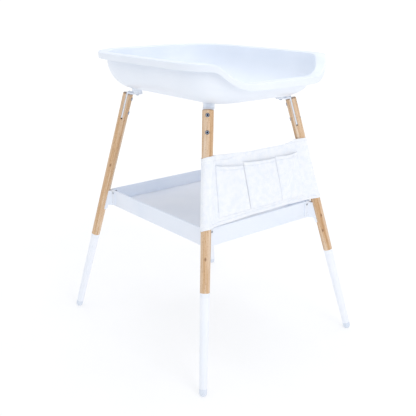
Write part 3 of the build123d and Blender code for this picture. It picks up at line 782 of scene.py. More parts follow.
        rings += disc(inner_base, self.floor)
        rings += self.wall_rings(inner_base, self.floor, top_height, 26)
        r = self.inner_round
        rings += [
            self.lip_ring(top_inset - r * (1 - math.cos(a)), r * (1 - math.sin(a))) for a in quarter[1:]
        ]
        r = self.outer_round
        rings += [
            self.lip_ring((top_inset - self.inner_round) * (1 - s) + r * s, 0) for s in (0.2, 0.4, 0.6, 0.8)
        ]
        rings += [self.lip_ring(r * (1 - math.sin(a)), r * (1 - math.cos(a))) for a in quarter]
        half = self.wall / 2
        rings += [self.lip_ring(0, r + (self.skirt - half - r) * s) for s in (0.33, 0.66)]
        rings += [
            self.lip_ring(half * (1 - math.cos(a)), self.skirt - half + half * math.sin(a))
            for a in np.linspace(0, math.pi, 9)
        ]
        r = self.under_round
        rings += [self.lip_ring(self.wall, self.skirt - half - (self.skirt - half - self.wall - r) * 0.5)]
        rings += [
            self.lip_ring(self.wall + r * (1 - math.cos(a)), self.wall + r * (1 - math.sin(a)))
            for a in quarter
        ]
        under_inset, under_height = self.wall_top(outer_base, self.bottom, self.wall + r)
        rings += [
            self.lip_ring((self.wall + r) * (1 - s) + (under_inset - r) * s, self.wall) for s in (0.33, 0.66)
        ]
        rings += [
            self.lip_ring(under_inset - r * (1 - math.sin(a)), self.wall + r * (1 - math.cos(a)))
            for a in quarter
        ][:-1]
        rings += self.wall_rings(outer_base, self.bottom, under_height, 26)[::-1]
        rings += disc(outer_base, self.bottom)[::-1]
        poles = [np.array([*centre, level]) for level in (self.floor, self.bottom)]
        return closed_shell(np.array(rings), *poles)

    def underside(self, flat: np.ndarray) -> np.ndarray:
        """The bowl's outer surface above plan points.

        A point's inset is the least of (outline - point) . normal round the outline.

        Args:
            flat: plan points.
        Returns:
            Heights above the floor.
        """
        inset = ((self.line[None] - flat[:, None]) * self.normal[None]).sum(-1).min(1)
        r = self.bowl_radius
        q = np.clip(inset - self.overhang, 0, r)
        return self.bottom + r - np.sqrt(r**2 - (r - q) ** 2)

    def boss(self, x: float, y: float) -> tuple[np.ndarray, np.ndarray, np.ndarray]:
        """A boss under the bowl, flared where it grows out of the wall.

        Args:
            x: its centre across.
            y: its centre along.
        Returns:
            Points, four-sided faces and three-sided faces.
        """
        turn = np.linspace(0, 2 * math.pi, 64, endpoint=False)
        way = np.column_stack([np.cos(turn), np.sin(turn)])
        foot = self.bottom - self.boss_height

        def level(radius: float, height: float) -> np.ndarray:
            """A level ring of the boss."""
            return np.column_stack([(x, y) + radius * way, np.full(len(turn), height)])

        def below_bowl(radius: float, gap: float) -> np.ndarray:
            """A ring that follows the bowl's underside, a gap below it."""
            flat = (x, y) + radius * way
            return np.column_stack([flat, self.underside(flat) - gap])

        radius, edge, flare = self.boss_radius, 0.001, 0.004
        rings = [level(radius * s, foot) for s in (0.3, 0.7)]
        rings += [
            level(radius - edge * (1 - math.sin(a)), foot + edge * (1 - math.cos(a)))
            for a in np.linspace(0, math.pi / 2, 4)
        ]
        rings += [
            below_bowl(radius + flare * (1 - math.cos(a)), flare * (1 - math.sin(a)))
            for a in np.linspace(0, math.pi / 2, 6)
        ]
        rings += [below_bowl(radius * s, -0.0015) for s in (1.0, 0.5)]
        return closed_shell(np.array(rings), np.array([x, y, foot]), np.array([x, y, self.bottom + 0.0015]))

    def build(self) -> None:
        """Builds the tub and stands it for the CAD tub."""
        pads = [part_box(f"tub_bracket_{corner}") for corner in CORNERS]
        reach = 0.018  # a pad's radius: its centre is that far in from the bracket's inner edges
        bosses = []
        for (low, high), (side_x, side_y) in zip(pads, CORNERS.values()):
            x = (low.x if side_x > 0 else high.x) + side_x * reach
            y = (low.y if side_y > 0 else high.y) + side_y * reach
            bosses.append(self.boss(x, y))
        tub = make_object("tub_shell", *joined([self.bowl(), *bosses]))
        tub.data.materials.append(TUB_PLASTIC.build())
        place(tub, "tub_plastic", ["tub"])


# ------------------------------------------------------------------ tray


@dataclass
class Tray:
    """The tray's moulded frame: four walls with a small lip."""

    walls: tuple[str, ...] = (
        "shelf_wall_front",
        "shelf_wall_back",
        "shelf_wall_left",
        "shelf_wall_right",
        "shelf_corners",
    )
    lip: float = 0.0025
    wall: float = 0.003
    lip_height: float = 0.005
    corner_radius: float = 0.014
    edge: float = 0.0009

    def section(self) -> list[tuple[float, float]]:
        """The wall's section with its corners rounded, as (outset, height) points.

        Each corner is a quarter circle between the points an edge radius before and after it.

        Returns:
            The section's points in order round it.
        """
        low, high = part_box(self.walls[0])
        top, bottom = high.z, low.z
        corners = [
            (-self.wall, top),
            (self.lip, top),
            (self.lip, top - self.lip_height),
            (0.0, top - self.lip_height),
            (0.0, bottom),
            (-self.wall, bottom),
        ]
        rounded = []
        for here, before, after in zip(
            map(np.array, corners),
            map(np.array, corners[-1:] + corners[:-1]),
            map(np.array, corners[1:] + corners[:1]),
        ):
            back = (before - here) / np.linalg.norm(before - here) * self.edge
            on = (after - here) / np.linalg.norm(after - here) * self.edge
            for a in np.linspace(0, math.pi / 2, 4):
                rounded.append(tuple(here + back * (1 - math.sin(a)) + on * (1 - math.cos(a))))
        return rounded

    def build(self) -> None:
        """Builds the frame and dresses the ledge bars, floor panel and rivets."""
        outline = Outline(
            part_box(self.walls[3])[1].x - self.lip,
            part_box(self.walls[1])[1].y - self.lip,
            self.corner_radius,
            0.0,
            0.15,
            corner_points=14,
        )
        line, normal = outline.points()
        rings = [
            np.column_stack([line + outset * normal, np.full(len(line), height)])
            for outset, height in self.section()
        ]
        tray = make_object("tray_frame", *closed_shell(np.array(rings)))
        plastic = TRAY_PLASTIC.build()
        tray.data.materials.append(plastic)
        place(tray, "tray_plastic", self.walls)
        dress("shelf_ledges", plastic)
        dress("shelf_floor_panel", FLOOR_PANEL.build())
        dress("tray_rivets", RIVET_NYLON.build())


# ------------------------------------------------------------------ legs and fittings


@dataclass
class Legs:
    """The four legs with their collars, feet, brackets and fasteners, all but the bolts as in the CAD."""

    foot: tuple[float, float] = (0.343, 0.399)

    def knots(self, corner: str) -> list[tuple[float, float, float]]:
        """Pin knots of one leg, as points on its surface in the leg's own frame.

        Args:
            corner: the leg's name.
        Returns:
            Across, across and along the leg from the floor up, in metres.
        """
        return {
            "front_left": [(-0.010, -0.012, 0.428)],
            "front_right": [(-0.006, -0.015, 0.458), (-0.012, -0.010, 0.402)],
            "back_left": [(-0.012, -0.010, 0.610)],
            "back_right": [(0.010, 0.012, 0.520)],
        }[corner]

    def build(self) -> None:
        """Dresses every node of the legs and their fittings."""
        lacquer, collar, cap = LEG_LACQUER.build(), COLLAR_PLASTIC.build(), CAP_PLASTIC.build()
        steel, zinc, brass = STEEL_LACQUER.build(), ZINC_STEEL.build(), BRASS.build()
        corner_plastic = TRAY_PLASTIC.build()
        for index, (corner, (side_x, side_y)) in enumerate(CORNERS.items()):
            head = Vector((side_x * LEG_TOP[0], side_y * LEG_TOP[1], LEG_TOP[2]))
            base = Vector((side_x * self.foot[0], side_y * self.foot[1], 0.0))
            wood = TurnedBeech(
                f"beech_turned_lacquered_{corner}", "#F0DAC2", "#DFBC93", "#C6996A", "#B98F66", 0.36
            )
            # each leg starts its grain at another place of the pattern
            start = base - (head - base).normalized() * 0.9 * index
            knots = [(x, y, z + 0.9 * index) for x, y, z in self.knots(corner)]
            crown = (head - start).length
            dress(f"upper_leg_{corner}", wood.build(start, head - base, crown, knots))
            dress(f"lower_leg_{corner}", lacquer)
            dress(f"leg_collar_{corner}", collar)
            dress(f"foot_cap_{corner}", cap)
            dress(f"tub_bracket_{corner}", steel)
            dress(f"shelf_bracket_{corner}", corner_plastic)
        for node in ("leg_nuts", "leg_studs", "tub_screws", "tub_washers", "shelf_bracket_screws"):
            dress(node, zinc)
        for node in ("leg_inserts", "tub_inserts", "shelf_inserts"):
            dress(node, brass)


@dataclass
class Bolts:
    """The eight bolts through the upper legs: flat heads with hexagon sockets, with painted shade on the rim,
    side and socket.
    """

    head: float = 0.0063
    head_height: float = 0.004
    recess: float = 0.0046
    shank: float = 0.003
    socket: float = 0.0026  # across its flats, halved
    socket_depth: float = 0.0024
    chamfer: float = 0.0011
    lead_in: float = 0.0003  # how far down the socket's edge is broken
    rim_drop: float = 0.0010  # from the head's face to where its side is upright
    end_gap: float = 0.0100  # how much shorter the bolt is than the leg is thick
    depths: tuple[float, ...] = (0.018, 0.070)
    sides: int = 36

    def profile(self, leg_radius: float) -> list[tuple[float, float, bool]]:
        """The bolt's profile from its socket's floor over the head to the shank's end.

        Args:
            leg_radius: the leg's radius at the bolt.
        Returns:
            Radius, height above the head's face, and whether that ring is a hexagon.
        """
        end = self.end_gap - 2 * leg_radius
        return [
            (self.socket * 0.5, -self.socket_depth, True),
            (self.socket, -self.socket_depth, True),
            (self.socket, -self.lead_in, True),
            (self.socket + 0.0005, 0.0, False),
            (self.head - self.chamfer, 0.0, False),
            (self.head - 0.4 * self.chamfer, -self.lead_in, False),
            (self.head, -self.rim_drop, False),
            (self.head, -self.head_height, False),
            (self.shank, -self.head_height, False),
            (self.shank, end, False),
        ]

    def build(self) -> None:
        """Builds all eight bolts in one piece: rings of the profile about each bolt's axis."""
        slope = math.hypot(*LEG_RUN) / LEG_TOP[2]
        length = math.hypot(1, slope)
        turn = np.linspace(0, 2 * math.pi, self.sides, endpoint=False)
        hexagon = 1 / np.cos((turn % (math.pi / 3)) - math.pi / 6)
        shells = []
        for side_x, side_y in CORNERS.values():
            flat = np.array([side_x * LEG_RUN[0], side_y * LEG_RUN[1], 0.0]) / math.hypot(*LEG_RUN)
            down = (flat * slope - np.array([0.0, 0.0, 1.0])) / length
            axis = (flat + np.array([0.0, 0.0, slope])) / length
            side = np.cross(axis, down)
            for depth in self.depths:
                radius = LEG_RADIUS - LEG_TAPER * depth / LEG_WOOD
                middle = np.array([side_x * LEG_TOP[0], side_y * LEG_TOP[1], LEG_TOP[2]]) + down * depth
                face = middle + axis * (radius - self.recess + self.head_height)
                rings = np.array(
                    [
                        face
                        + axis * up
                        + np.outer(r * (hexagon if six else 1) * np.cos(turn), down)
                        + np.outer(r * (hexagon if six else 1) * np.sin(turn), side)
                        for r, up, six in self.profile(radius)
                    ]
                )
                floor = face - axis * self.socket_depth
                tip = face + axis * self.profile(radius)[-1][1]
                shells.append(closed_shell(rings, floor, tip))
        bolts = make_object("leg_bolt_set", *joined(shells))
        bolts.data.materials.append(ZINC_STEEL.build())
        bolts.data.materials.append(RECESS_SHADE_STEEL.build())
        # painted shade: the socket, the head's edge and its side take a dark steel that stands for the shade
        # in the socket and the counterbore; the face is ground bright
        rows = np.array([1, 1, 1, 0, 1, 1, 1, 0, 0], np.int32)
        quads = np.tile(np.repeat(rows, self.sides), len(shells))
        fans = np.tile(np.repeat(np.array([1, 0], np.int32), self.sides), len(shells))
        bolts.data.polygons.foreach_set("material_index", np.concatenate([quads, fans]))
        place(bolts, "zinc_steel", ["leg_bolts"])


# ------------------------------------------------------------------ organiser


class Stretch(Enum):
    """The stretches of cloth round a leg, in the order in which it passes them."""

    BACK = "from the seam to the leg, behind the panel"
    ROUND = "round the leg's outer side"
    FRONT = "from the leg back to the seam"


@dataclass(frozen=True)
class PocketCut:
    """One pocket: where it is sewn on, and how its cloth stands off the panel."""

    name: str
    left: tuple[float, float]  # its left edge, at its mouth and at its foot
    right: tuple[float, float]
    top: tuple[float, float]  # heights of the mouth's left and right ends
    mouth: float  # how far the mouth stands off
    belly: float  # how far its lower half stands off
    fullness: float  # how square the bulge is across
    fold: float  # depth of the slanting fold


@dataclass
class Organiser:
    """The cloth organiser: one panel whose ends wrap the front legs, and three pockets."""

    bottom: float = 0.5055
    top: float = 0.7040
    seam_from_leg: float = 0.032
    cloth: float = 0.0009
    gap: float = 0.0012
    hem: float = 0.011
    foot: float = 0.5215
    rows: int = 64
    straight_columns: int = 9  # between the seam and the leg, each way
    round_columns: int = 39  # round the leg
    lean_sine: float = 0.2006  # of the panel plane's lean
    lean_slope: float = 0.194  # of a leg, across the front
    tilt_gain: float = 1.35  # set so that the hems climb far enough round the legs
    pockets: tuple[PocketCut, ...] = (
        PocketCut("left", (-0.178, -0.190), (-0.0680, -0.0565), (0.682, 0.666), 0.0045, 0.0070, 4.0, 0.0004),
        PocketCut(
            "middle", (-0.0660, -0.0545), (0.0745, 0.0860), (0.676, 0.668), 0.0060, 0.0100, 6.0, 0.0010
        ),
        PocketCut("right", (0.0765, 0.0880), (0.1790, 0.1870), (0.671, 0.671), 0.0050, 0.0080, 4.0, 0.0050),
    )

    def leg_middle(self, height: np.ndarray) -> np.ndarray:
        """How far out along X a front leg's axis is at a height: it runs straight."""
        return LEG_TOP[0] + (LEG_TOP[2] - height) * LEG_RUN[0] / LEG_TOP[2]

    def leg_radius(self, height: np.ndarray) -> np.ndarray:
        """The upper leg's radius at a height: 18 mm at its top, less 2.7 mm over 560 mm."""
        lean = LEG_TOP[2] / math.hypot(*LEG_RUN, LEG_TOP[2])
        return LEG_RADIUS - LEG_TAPER * (LEG_TOP[2] - height) / lean / LEG_WOOD

    def in_space(self, x: np.ndarray, out: np.ndarray, height: np.ndarray) -> np.ndarray:
        """Points beside the plane through both front legs' axes.

        Args:
            x: places across.
            out: distances in front of the plane.
            height: heights above the floor.
        Returns:
            Points, three numbers each.
        """
        slope = LEG_RUN[1] / LEG_TOP[2]
        length = math.hypot(1, slope)
        up = (height - out * slope / length) * length
        y = -(LEG_TOP[1] + LEG_RUN[1]) + up * slope / length - out / length
        return np.stack([x, y, height], -1)

    def panel_out(self, x: np.ndarray, height: np.ndarray) -> np.ndarray:
        """How far the panel hangs off its plane: slow waves, and puckers beside the seams.

        The waves are sines 150 and 83 mm long that die out at the seams. The puckers are
        sines 21 mm long up the seam that fade over 14 mm.
        """
        edge = self.leg_middle(height) - self.seam_from_leg
        inner = np.clip(1 - np.abs(x) / edge, 0, 1)
        calm = smooth_step(inner, 0.0, 0.35)
        up = (height - self.bottom) / (self.top - self.bottom)
        wave = 0.0012 * np.sin(2 * math.pi * (x / 0.150 + 0.35 * up + 0.12))
        wave += 0.0007 * np.sin(2 * math.pi * (x / 0.083 - 0.6 * up + 0.4)) * (0.4 + 0.6 * up)
        sag = -0.0022 * smooth_step(up, 0.72, 1.0) * (1 - (x / edge) ** 2)
        near_seam = np.exp(-np.maximum(edge - np.abs(x), 0) / 0.014)
        pucker = 0.0005 * np.sin(2 * math.pi * height / 0.021 + np.sign(x)) * near_seam
        return calm * (wave + sag) + pucker * (inner > 0)

    def path(self, height: np.ndarray) -> tuple[np.ndarray, np.ndarray]:
        """The cloth's line at each height: round the left leg, across, round the right leg.

        With R the wrap's radius and D the seam's distance from the leg's axis, the cloth
        leaves the leg where the angle's cosine is R / D and runs straight to the seam.

        Args:
            height: heights, one row for each row of the cloth and one column each place.
        Returns:
            Places across and distances off the plane, of the same shape.
        """
        run = np.linspace(0, 1, self.straight_columns + 1)[None, :-1]
        turn = np.linspace(0, 1, self.round_columns + 1)[None, :-1]
        across = np.linspace(-1, 1, 151)[None]
        counts = [run.shape[1], turn.shape[1], run.shape[1], across.shape[1]]
        starts = np.cumsum([0, *counts])
        h = [height[:, a:b] for a, b in zip(starts[:-1], starts[1:])]
        pieces = []
        for level, stretch in zip(h[:3], Stretch):
            middle, radius = -self.leg_middle(level), self.leg_radius(level) + self.gap
            leave = np.arccos(radius / self.seam_from_leg)
            touch_x, touch_out = middle + radius * np.cos(leave), radius * np.sin(leave)
            seam = middle + self.seam_from_leg
            if stretch is Stretch.BACK:
                pieces.append((seam + (touch_x - seam) * run, -touch_out * run))
            elif stretch is Stretch.ROUND:
                angle = -leave - (2 * math.pi - 2 * leave) * turn
                pieces.append((middle + radius * np.cos(angle), radius * np.sin(angle)))
            else:
                pieces.append((touch_x + (seam - touch_x) * run, touch_out * (1 - run)))
        edge = self.leg_middle(h[3]) - self.seam_from_leg
        flat_x = edge * across
        pieces.append((flat_x, self.panel_out(flat_x, h[3])))
        left_x = np.concatenate([p[0] for p in pieces[:3]], 1)
        left_out = np.concatenate([p[1] for p in pieces[:3]], 1)
        x = np.concatenate([left_x, pieces[3][0], -left_x[:, ::-1]], 1)
        out = np.concatenate([left_out, pieces[3][1], left_out[:, ::-1]], 1)
        for _ in range(3):  # the cloth can't kink at its seams
            x[:, 1:-1] = (x[:, :-2] + 2 * x[:, 1:-1] + x[:, 2:]) / 4
            out[:, 1:-1] = (out[:, :-2] + 2 * out[:, 1:-1] + out[:, 2:]) / 4
        return x, out

    def columns(self) -> np.ndarray:
        """Where each column of the cover is across the panel, from -1 to 1 at the seams."""
        side = np.ones(9 + 39 + 9)
        return np.concatenate([-side, np.linspace(-1, 1, 151), side])

    def top_edge(self, share: np.ndarray) -> np.ndarray:
        """The top edge's height: it slopes up early to the left leg and late to the right one.

        The rise is 9.5 mm times the distance to the power 1.6 on the left, 6 on the right.
        """
        return self.top + 0.0095 * np.abs(share) ** np.where(share < 0, 1.6, 6.0)

    def bottom_edge(self, share: np.ndarray) -> np.ndarray:
        """The lower edge's height: a shallow arch, 6 mm lower at the left, 2 mm at the right."""
        return self.bottom + 0.002 * share - 0.004 * share**2

    def tilt(self, x: np.ndarray, out: np.ndarray) -> np.ndarray:
        """How far a straight cut edge climbs or drops where the cloth goes round a leg.

        It stays square to the panel's plane, so it rises with the distance in front of it,
        and it drops by the leg's lean times the cloth used up in going round.

        Args:
            x: the cloth's places across.
            out: its distances off the plane.
        Returns:
            The change in height at each point.
        """
        step = np.hypot(np.diff(x, axis=1), np.diff(out, axis=1))
        far = np.concatenate([np.zeros((len(x), 1)), np.cumsum(step, 1)], 1)
        left = 2 * self.straight_columns + self.round_columns
        right = x.shape[1] - 1 - left
        used = np.zeros_like(x)
        for seam, ends in ((left, slice(0, left)), (right, slice(right + 1, None))):
            tip = far[:, :1] if seam == left else far[:, -1:]
            round_leg = np.minimum(np.abs(far[:, ends] - tip), np.abs(far[:, ends] - far[:, seam, None]))
            used[:, ends] = round_leg - np.abs(x[:, ends] - x[:, seam, None])
        off_panel = np.ones(x.shape[1])
        off_panel[left : right + 1] = 0.0
        return self.tilt_gain * (self.lean_sine * out * off_panel - self.lean_slope * used)

    def cover_grid(
        self, low: np.ndarray, high: np.ndarray, rows: int, lift: float
    ) -> tuple[np.ndarray, np.ndarray]:
        """A band of the cover between two edges, lifted off its outer face.

        Args:
            low: the lower edge's height at each column.
            high: the upper edge's height at each column.
            rows: number of rows.
            lift: distance off the cloth's middle, outwards from the sleeves.
        Returns:
            The band's points by row and column, and their flat places in metres.
        """
        share = np.linspace(0, 1, rows)[:, None]
        flat = low[None] + (high - low)[None] * share
        height = flat + self.tilt(*self.path(flat))
        x, out = self.path(height)
        along = np.stack([np.gradient(x, axis=1), np.gradient(out, axis=1)])
        along /= np.maximum(np.linalg.norm(along, axis=0), 1e-9)
        points = self.in_space(x - lift * along[1], out + lift * along[0], height)
        step = np.linalg.norm(np.diff(points, axis=1), axis=2)
        u = np.concatenate([np.zeros((rows, 1)), np.cumsum(step, 1)], 1)
        return points, np.stack([u - u[:, -1:] / 2, flat], -1)

    def sheet_object(
        self, name: str, points: np.ndarray, uv: np.ndarray, thickness: float, finish: bpy.types.Material
    ) -> bpy.types.Object:
        """A sheet of cloth from a grid of points, given its thickness both ways.

        Args:
            name: the piece's name.
            points: the grid's points by row and column.
            uv: their flat places in metres.
            thickness: the cloth's thickness.
            finish: its material.
        Returns:
            The object.
        """
        rows, cols = points.shape[:2]
        made = make_object(
            name, points.reshape(-1, 3), grid_faces(rows, cols, False, False), uv=uv.reshape(-1, 2)
        )
        made.data.materials.append(finish)
        thick = made.modifiers.new("cloth thickness", "SOLIDIFY")
        thick.thickness, thick.offset, thick.use_even_offset = thickness, 0.0, False
        return made

    def pocket_grid(self, cut: PocketCut) -> tuple[np.ndarray, np.ndarray]:
        """The cloth of one pocket, sewn down at its sides and foot and open at its mouth.

        Across, it stands off by (1 - |s| ** fullness) ** 0.5 of its depth, with s from -1 to
        1. Upwards, the depth rises over 22 mm to its belly and goes on to the mouth.

        Args:
            cut: the pocket.
        Returns:
            Points by row and column, and their flat places in metres.
        """
        s = np.sin(np.linspace(-math.pi / 2, math.pi / 2, 73))[None]  # closer together at the sides
        t = np.linspace(0, 1, 52)[:, None]
        top = cut.top[0] + (cut.top[1] - cut.top[0]) * (s + 1) / 2
        height = self.foot + (top - self.foot - 0.0020 * (1 - s**2) * t**3) * t
        left, right = (foot + (mouth - foot) * t for mouth, foot in (cut.left, cut.right))
        half = (right - left) / 2
        x = (left + right) / 2 + half * s
        rise = smooth_step(height - self.foot, 0.0, 0.022)
        depth = rise * (cut.belly + (cut.mouth - cut.belly) * smooth_step(t, 0.45, 1.0))
        across = np.sqrt(np.maximum(1 - np.abs(s) ** cut.fullness, 0))
        # the fold curves down from the mouth's right corner towards the foot's left one
        line = x - (left + (right - left) * 0.9 * (1 - (1 - t) ** 1.4))
        calm = smooth_step(t, 0.08, 0.3)
        fold = -cut.fold * np.exp(-((line / 0.008) ** 2)) * calm
        fold += 0.5 * cut.fold * np.exp(-(((line + 0.019) / 0.011) ** 2)) * calm
        ripple = 0.0006 * np.sin(2 * math.pi * (s * half / 0.047 + 0.3 * t)) * smooth_step(t, 0.3, 1.0)
        out = self.panel_out(x, height) + self.cloth * 1.25 + across * (depth + fold + ripple)
        step = np.hypot(np.diff(x, axis=1), np.diff(out, axis=1))
        u = np.concatenate([np.zeros((len(t), 1)), np.cumsum(step, 1)], 1)
        return self.in_space(x, out, height), np.stack([u + left, height], -1)

    def stitches(self, name: str, runs: Sequence[np.ndarray], finish: bpy.types.Material) -> bpy.types.Object:
        """Sewing thread along runs of points: one small pill for each stitch.

        A stitch is 2.5 mm long in a pitch of 3.4 mm, its thread drawn 0.6 mm thick, which is
        twice the real one.

        Args:
            name: the piece's name.
            runs: the lines that are sewn, as points.
            finish: the thread's material.
        Returns:
            The object.
        """
        pitch, half, radius = 0.0034, 0.00125, 0.0003
        middles, ways = [], []
        for run in runs:
            far = np.concatenate([[0], np.cumsum(np.linalg.norm(np.diff(run, axis=0), axis=1))])
            at = np.arange(pitch / 2, far[-1], pitch)
            here = np.stack([np.interp(at, far, run[:, k]) for k in range(3)], 1)
            ahead = np.stack([np.interp(at + 0.0005, far, run[:, k]) for k in range(3)], 1)
            behind = np.stack([np.interp(at - 0.0005, far, run[:, k]) for k in range(3)], 1)
            middles.append(here)
            ways.append((ahead - behind) / np.linalg.norm(ahead - behind, axis=1)[:, None])
        middle, way = np.concatenate(middles), np.concatenate(ways)
        side = np.cross(way, [0.0, 0.0, 1.0])
        flat = np.linalg.norm(side, axis=1) < 0.2
        side[flat] = np.cross(way[flat], [1.0, 0.0, 0.0])
        side /= np.linalg.norm(side, axis=1)[:, None]
        up = np.cross(side, way)
        turn = np.linspace(0, 2 * math.pi, 6, endpoint=False)
        rings = np.array([(-0.85, 0.7), (-0.45, 1.0), (0.45, 1.0), (0.85, 0.7)])
        body = np.array(
            [
                [along * half, r * radius * math.cos(a), r * radius * math.sin(a)]
                for along, r in rings
                for a in turn
            ]
        )
        template = np.concatenate([body, [[-half, 0, 0], [half, 0, 0]]])
        points = (
            middle[:, None]
            + template[None, :, :1] * way[:, None]
            + template[None, :, 1:2] * side[:, None]
            + template[None, :, 2:] * up[:, None]
        ).reshape(-1, 3)
        _, quads, fans = closed_shell(body.reshape(4, 6, 3), template[-2], template[-1])
        starts = np.arange(len(middle))[:, None, None] * len(template)
        made = make_object(name, points, (quads + starts).reshape(-1, 4), (fans + starts).reshape(-1, 3))
        made.data.materials.append(finish)
        return made

    def build(self) -> None:
        canvas, thread = CANVAS.build(), THREAD.build()
        share = self.columns()
        low, high = self.bottom_edge(share), self.top_edge(share)
        # the top hem is wide at the left and rolls over out of sight in the middle
        roll = 0.0035 + 0.0135 * smooth_step(-share, 0.15, 0.8) + 0.006 * smooth_step(share, 0.8, 1.0)
        points, uv = self.cover_grid(low, high, self.rows, 0.0)
        cover = self.sheet_object("organiser_cover", points, uv, self.cloth, canvas)
        place(cover, "canvas", ["organiser_panel", "organiser_sleeve_left", "organiser_sleeve_right"])

        lift = self.cloth * 0.95
        hems, runs = [], []
        for name, a, b in (
            ("organiser_hem_top", high - roll, high + 0.0003),
            ("organiser_hem_bottom", low - 0.0003, low + self.hem),
        ):
            points, uv = self.cover_grid(a, b, 7, lift)
            hem = self.sheet_object(name, points, uv, self.cloth, canvas)
            place(hem, "canvas")
            hems.append(hem)
            line, _ = self.cover_grid(a * 0.82 + b * 0.18, a * 0.82 + b * 0.18, 1, lift + self.cloth / 2)
            if name.endswith("bottom"):
                line, _ = self.cover_grid(a * 0.18 + b * 0.82, a * 0.18 + b * 0.82, 1, lift + self.cloth / 2)
            runs.append(line[0])
        up = np.linspace(self.bottom + self.hem, self.top - self.hem, 40)
        for side in (-1, 1):
            edge = side * (self.leg_middle(up) - self.seam_from_leg - 0.002)
            runs.append(self.in_space(edge, self.panel_out(edge, up) + self.cloth / 2 + 0.0001, up))
        seams = self.stitches("organiser_stitching", runs, thread)
        place(seams, "canvas")
        edges = [self.cover_grid(edge, edge, 1, 0.0)[0][0] for edge in (low, high)]
        for cut in self.pockets:
            points, uv = self.pocket_grid(cut)
            pocket = self.sheet_object(f"pocket_{cut.name}", points, uv, self.cloth, canvas)
            place(pocket, "canvas", [f"organiser_pocket_{cut.name}"])
            band = self.off(points[-5:], self.cloth)
            hem = self.sheet_object(f"pocket_{cut.name}_hem", band, uv[-5:], self.cloth, canvas)
            place(hem, "canvas")
            front = self.cloth / 2 + 0.0001
            lines = [self.off(points[k:-6:1, c], front) for k, c in ((2, 1), (2, -2))]
            lines += [self.off(points[1, 2:-2], front), self.off(points[-5, 2:-2], front + self.cloth)]
            sewn = self.stitches(f"pocket_{cut.name}_stitching", lines, thread)
            place(sewn, "canvas")

    def off(self, points: np.ndarray, distance: float) -> np.ndarray:
        """Points moved straight off the front of the panel's plane."""
        slope = LEG_RUN[1] / LEG_TOP[2]
        return points + distance * np.array([0.0, -1.0, slope]) / math.hypot(1, slope)


# ------------------------------------------------------------------ studio


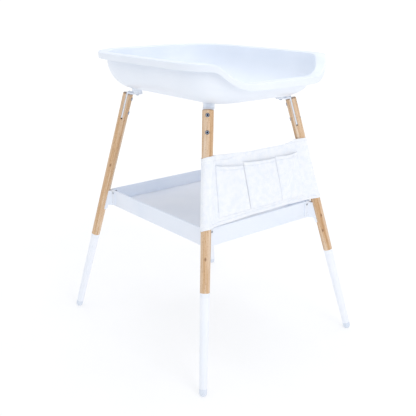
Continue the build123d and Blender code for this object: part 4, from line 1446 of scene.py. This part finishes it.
@dataclass
class Studio:
    """A pale floor that runs out of sight, soft light and the camera."""

    azimuth: float = -38.8248
    elevation: float = 18.5022
    distance: float = 2.3678
    roll: float = -0.256
    target: tuple[float, float, float] = (0.0005, -0.0007, 0.4396)
    lens: float = 56.11
    sensor: float = 36.0
    paper_glow: float = 1.08
    near_glow: float = 0.5  # how much of the paper's glow is left under the table
    sky_glow: float = 0.78

    def camera(self) -> None:
        """Places the camera at its azimuth, elevation, distance and roll."""
        a, e, r = (math.radians(v) for v in (self.azimuth, self.elevation, self.roll))
        back = Vector((math.sin(a) * math.cos(e), -math.cos(a) * math.cos(e), math.sin(e)))
        right = (-back).cross(Vector((0, 0, 1))).normalized()
        up = right.cross(-back)
        side = right * math.cos(r) + up * math.sin(r)
        head = up * math.cos(r) - right * math.sin(r)
        data = bpy.data.cameras.new("camera")
        data.lens, data.sensor_width = self.lens, self.sensor
        eye = bpy.data.objects.new("camera", data)
        turn = Matrix((side, head, back)).transposed().to_4x4()
        eye.matrix_world = Matrix.Translation(Vector(self.target) + back * self.distance) @ turn
        bpy.context.scene.collection.objects.link(eye)
        bpy.context.scene.camera = eye

    def light(self, name: str, at: Sequence[float], size: float, power: float, tint: str) -> None:
        """Adds a square soft light that faces the table.

        Args:
            name: the light's name.
            at: where it stands.
            size: its side in metres.
            power: its power in watts.
            tint: its colour.
        """
        data = bpy.data.lights.new(name, "AREA")
        data.size, data.energy, data.color = size, power, linear(tint)[:3]
        lamp = bpy.data.objects.new(name, data)
        way = Vector((0, 0, 0.6)) - Vector(at)
        lamp.rotation_mode = "QUATERNION"
        lamp.rotation_quaternion = way.to_track_quat("-Z", "Y")
        lamp.location = at
        bpy.context.scene.collection.objects.link(lamp)

    def floor(self) -> None:
        """Lays a round floor of matt white paper that comes to glow evenly 2.5 m away."""
        turn = np.linspace(0, 2 * math.pi, 96, endpoint=False)
        radius = np.array([0.5, 1.5, 4.0, 12.0, 40.0, 120.0])
        rings = np.stack(
            [np.outer(radius, np.cos(turn)), np.outer(radius, np.sin(turn)), np.zeros((6, 96))], -1
        )
        j = np.arange(96)
        fans = np.stack([np.full(96, 6 * 96), j, (j + 1) % 96], 1)
        quads = grid_faces(6, 96, False, True)[:, ::-1]
        points = np.concatenate([rings.reshape(-1, 3), [[0.0, 0.0, 0.0]]])
        floor = make_object("floor", points, quads, fans)
        made, tree = new_material("paper_matt_white")
        where = add_node(tree, "TexCoord").outputs["Object"]
        fibre = add_node(tree, "TexNoise", {"Vector": where, "Scale": 3.0})
        tone = add_node(
            tree, "ValToRGB", {"Fac": fibre.outputs["Fac"]}, stops=[(0.3, "#F6F6F7"), (0.7, "#FAFAFB")]
        )
        paper = add_node(tree, "BsdfDiffuse", {"Color": tone.outputs["Color"], "Roughness": 0.5})
        glow = add_node(tree, "Emission", {"Color": linear("#FFFFFF"), "Strength": self.paper_glow})
        away = add_node(tree, "VectorMath", {0: where}, operation="LENGTH").outputs["Value"]
        share = add_node(
            tree,
            "MapRange",
            {"Value": away, "From Min": 0.9, "From Max": 2.5, "To Min": self.near_glow},
            interpolation_type="SMOOTHSTEP",
        )
        both = {0: share.outputs["Result"], 1: paper.outputs[0], 2: glow.outputs[0]}
        close_material(tree, add_node(tree, "MixShader", both))
        floor.data.materials.append(made)

    def sky(self) -> None:
        """Surrounds everything with white, dimmer as a light than as a backdrop."""
        world = bpy.data.worlds.new("studio")
        world.use_nodes = True
        tree = world.node_tree
        tree.nodes.clear()
        seen = add_node(tree, "LightPath").outputs["Is Camera Ray"]
        glow = add_node(tree, "Background", {"Color": linear("#F7FAFF"), "Strength": self.sky_glow})
        white = add_node(tree, "Background", {"Color": linear("#FFFFFF"), "Strength": 1.0})
        both = add_node(tree, "MixShader", {0: seen, 1: glow.outputs[0], 2: white.outputs[0]})
        add_node(tree, "OutputWorld", {"Surface": both.outputs[0]})
        bpy.context.scene.world = world

    def build(self) -> None:
        """Sets up the whole studio."""
        self.floor()
        self.sky()
        self.light("key", (-0.5, -3.3, 2.0), 1.6, 20.0, "#FFFDFA")
        self.light("top", (0.3, 0.2, 4.2), 3.0, 50.0, "#FFFFFF")
        self.camera()
        view = bpy.context.scene.view_settings
        view.view_transform, view.look = "Standard", "None"


def main() -> None:
    """Builds the table's pieces in order, then the studio round them."""
    logging.basicConfig(level=logging.INFO, format="%(name)s: %(message)s")
    for part in (Tub(), Tray(), Legs(), Bolts(), Organiser(), Studio()):
        log.info("building %s", type(part).__name__)
        part.build()


if __name__ == "__main__":
    main()
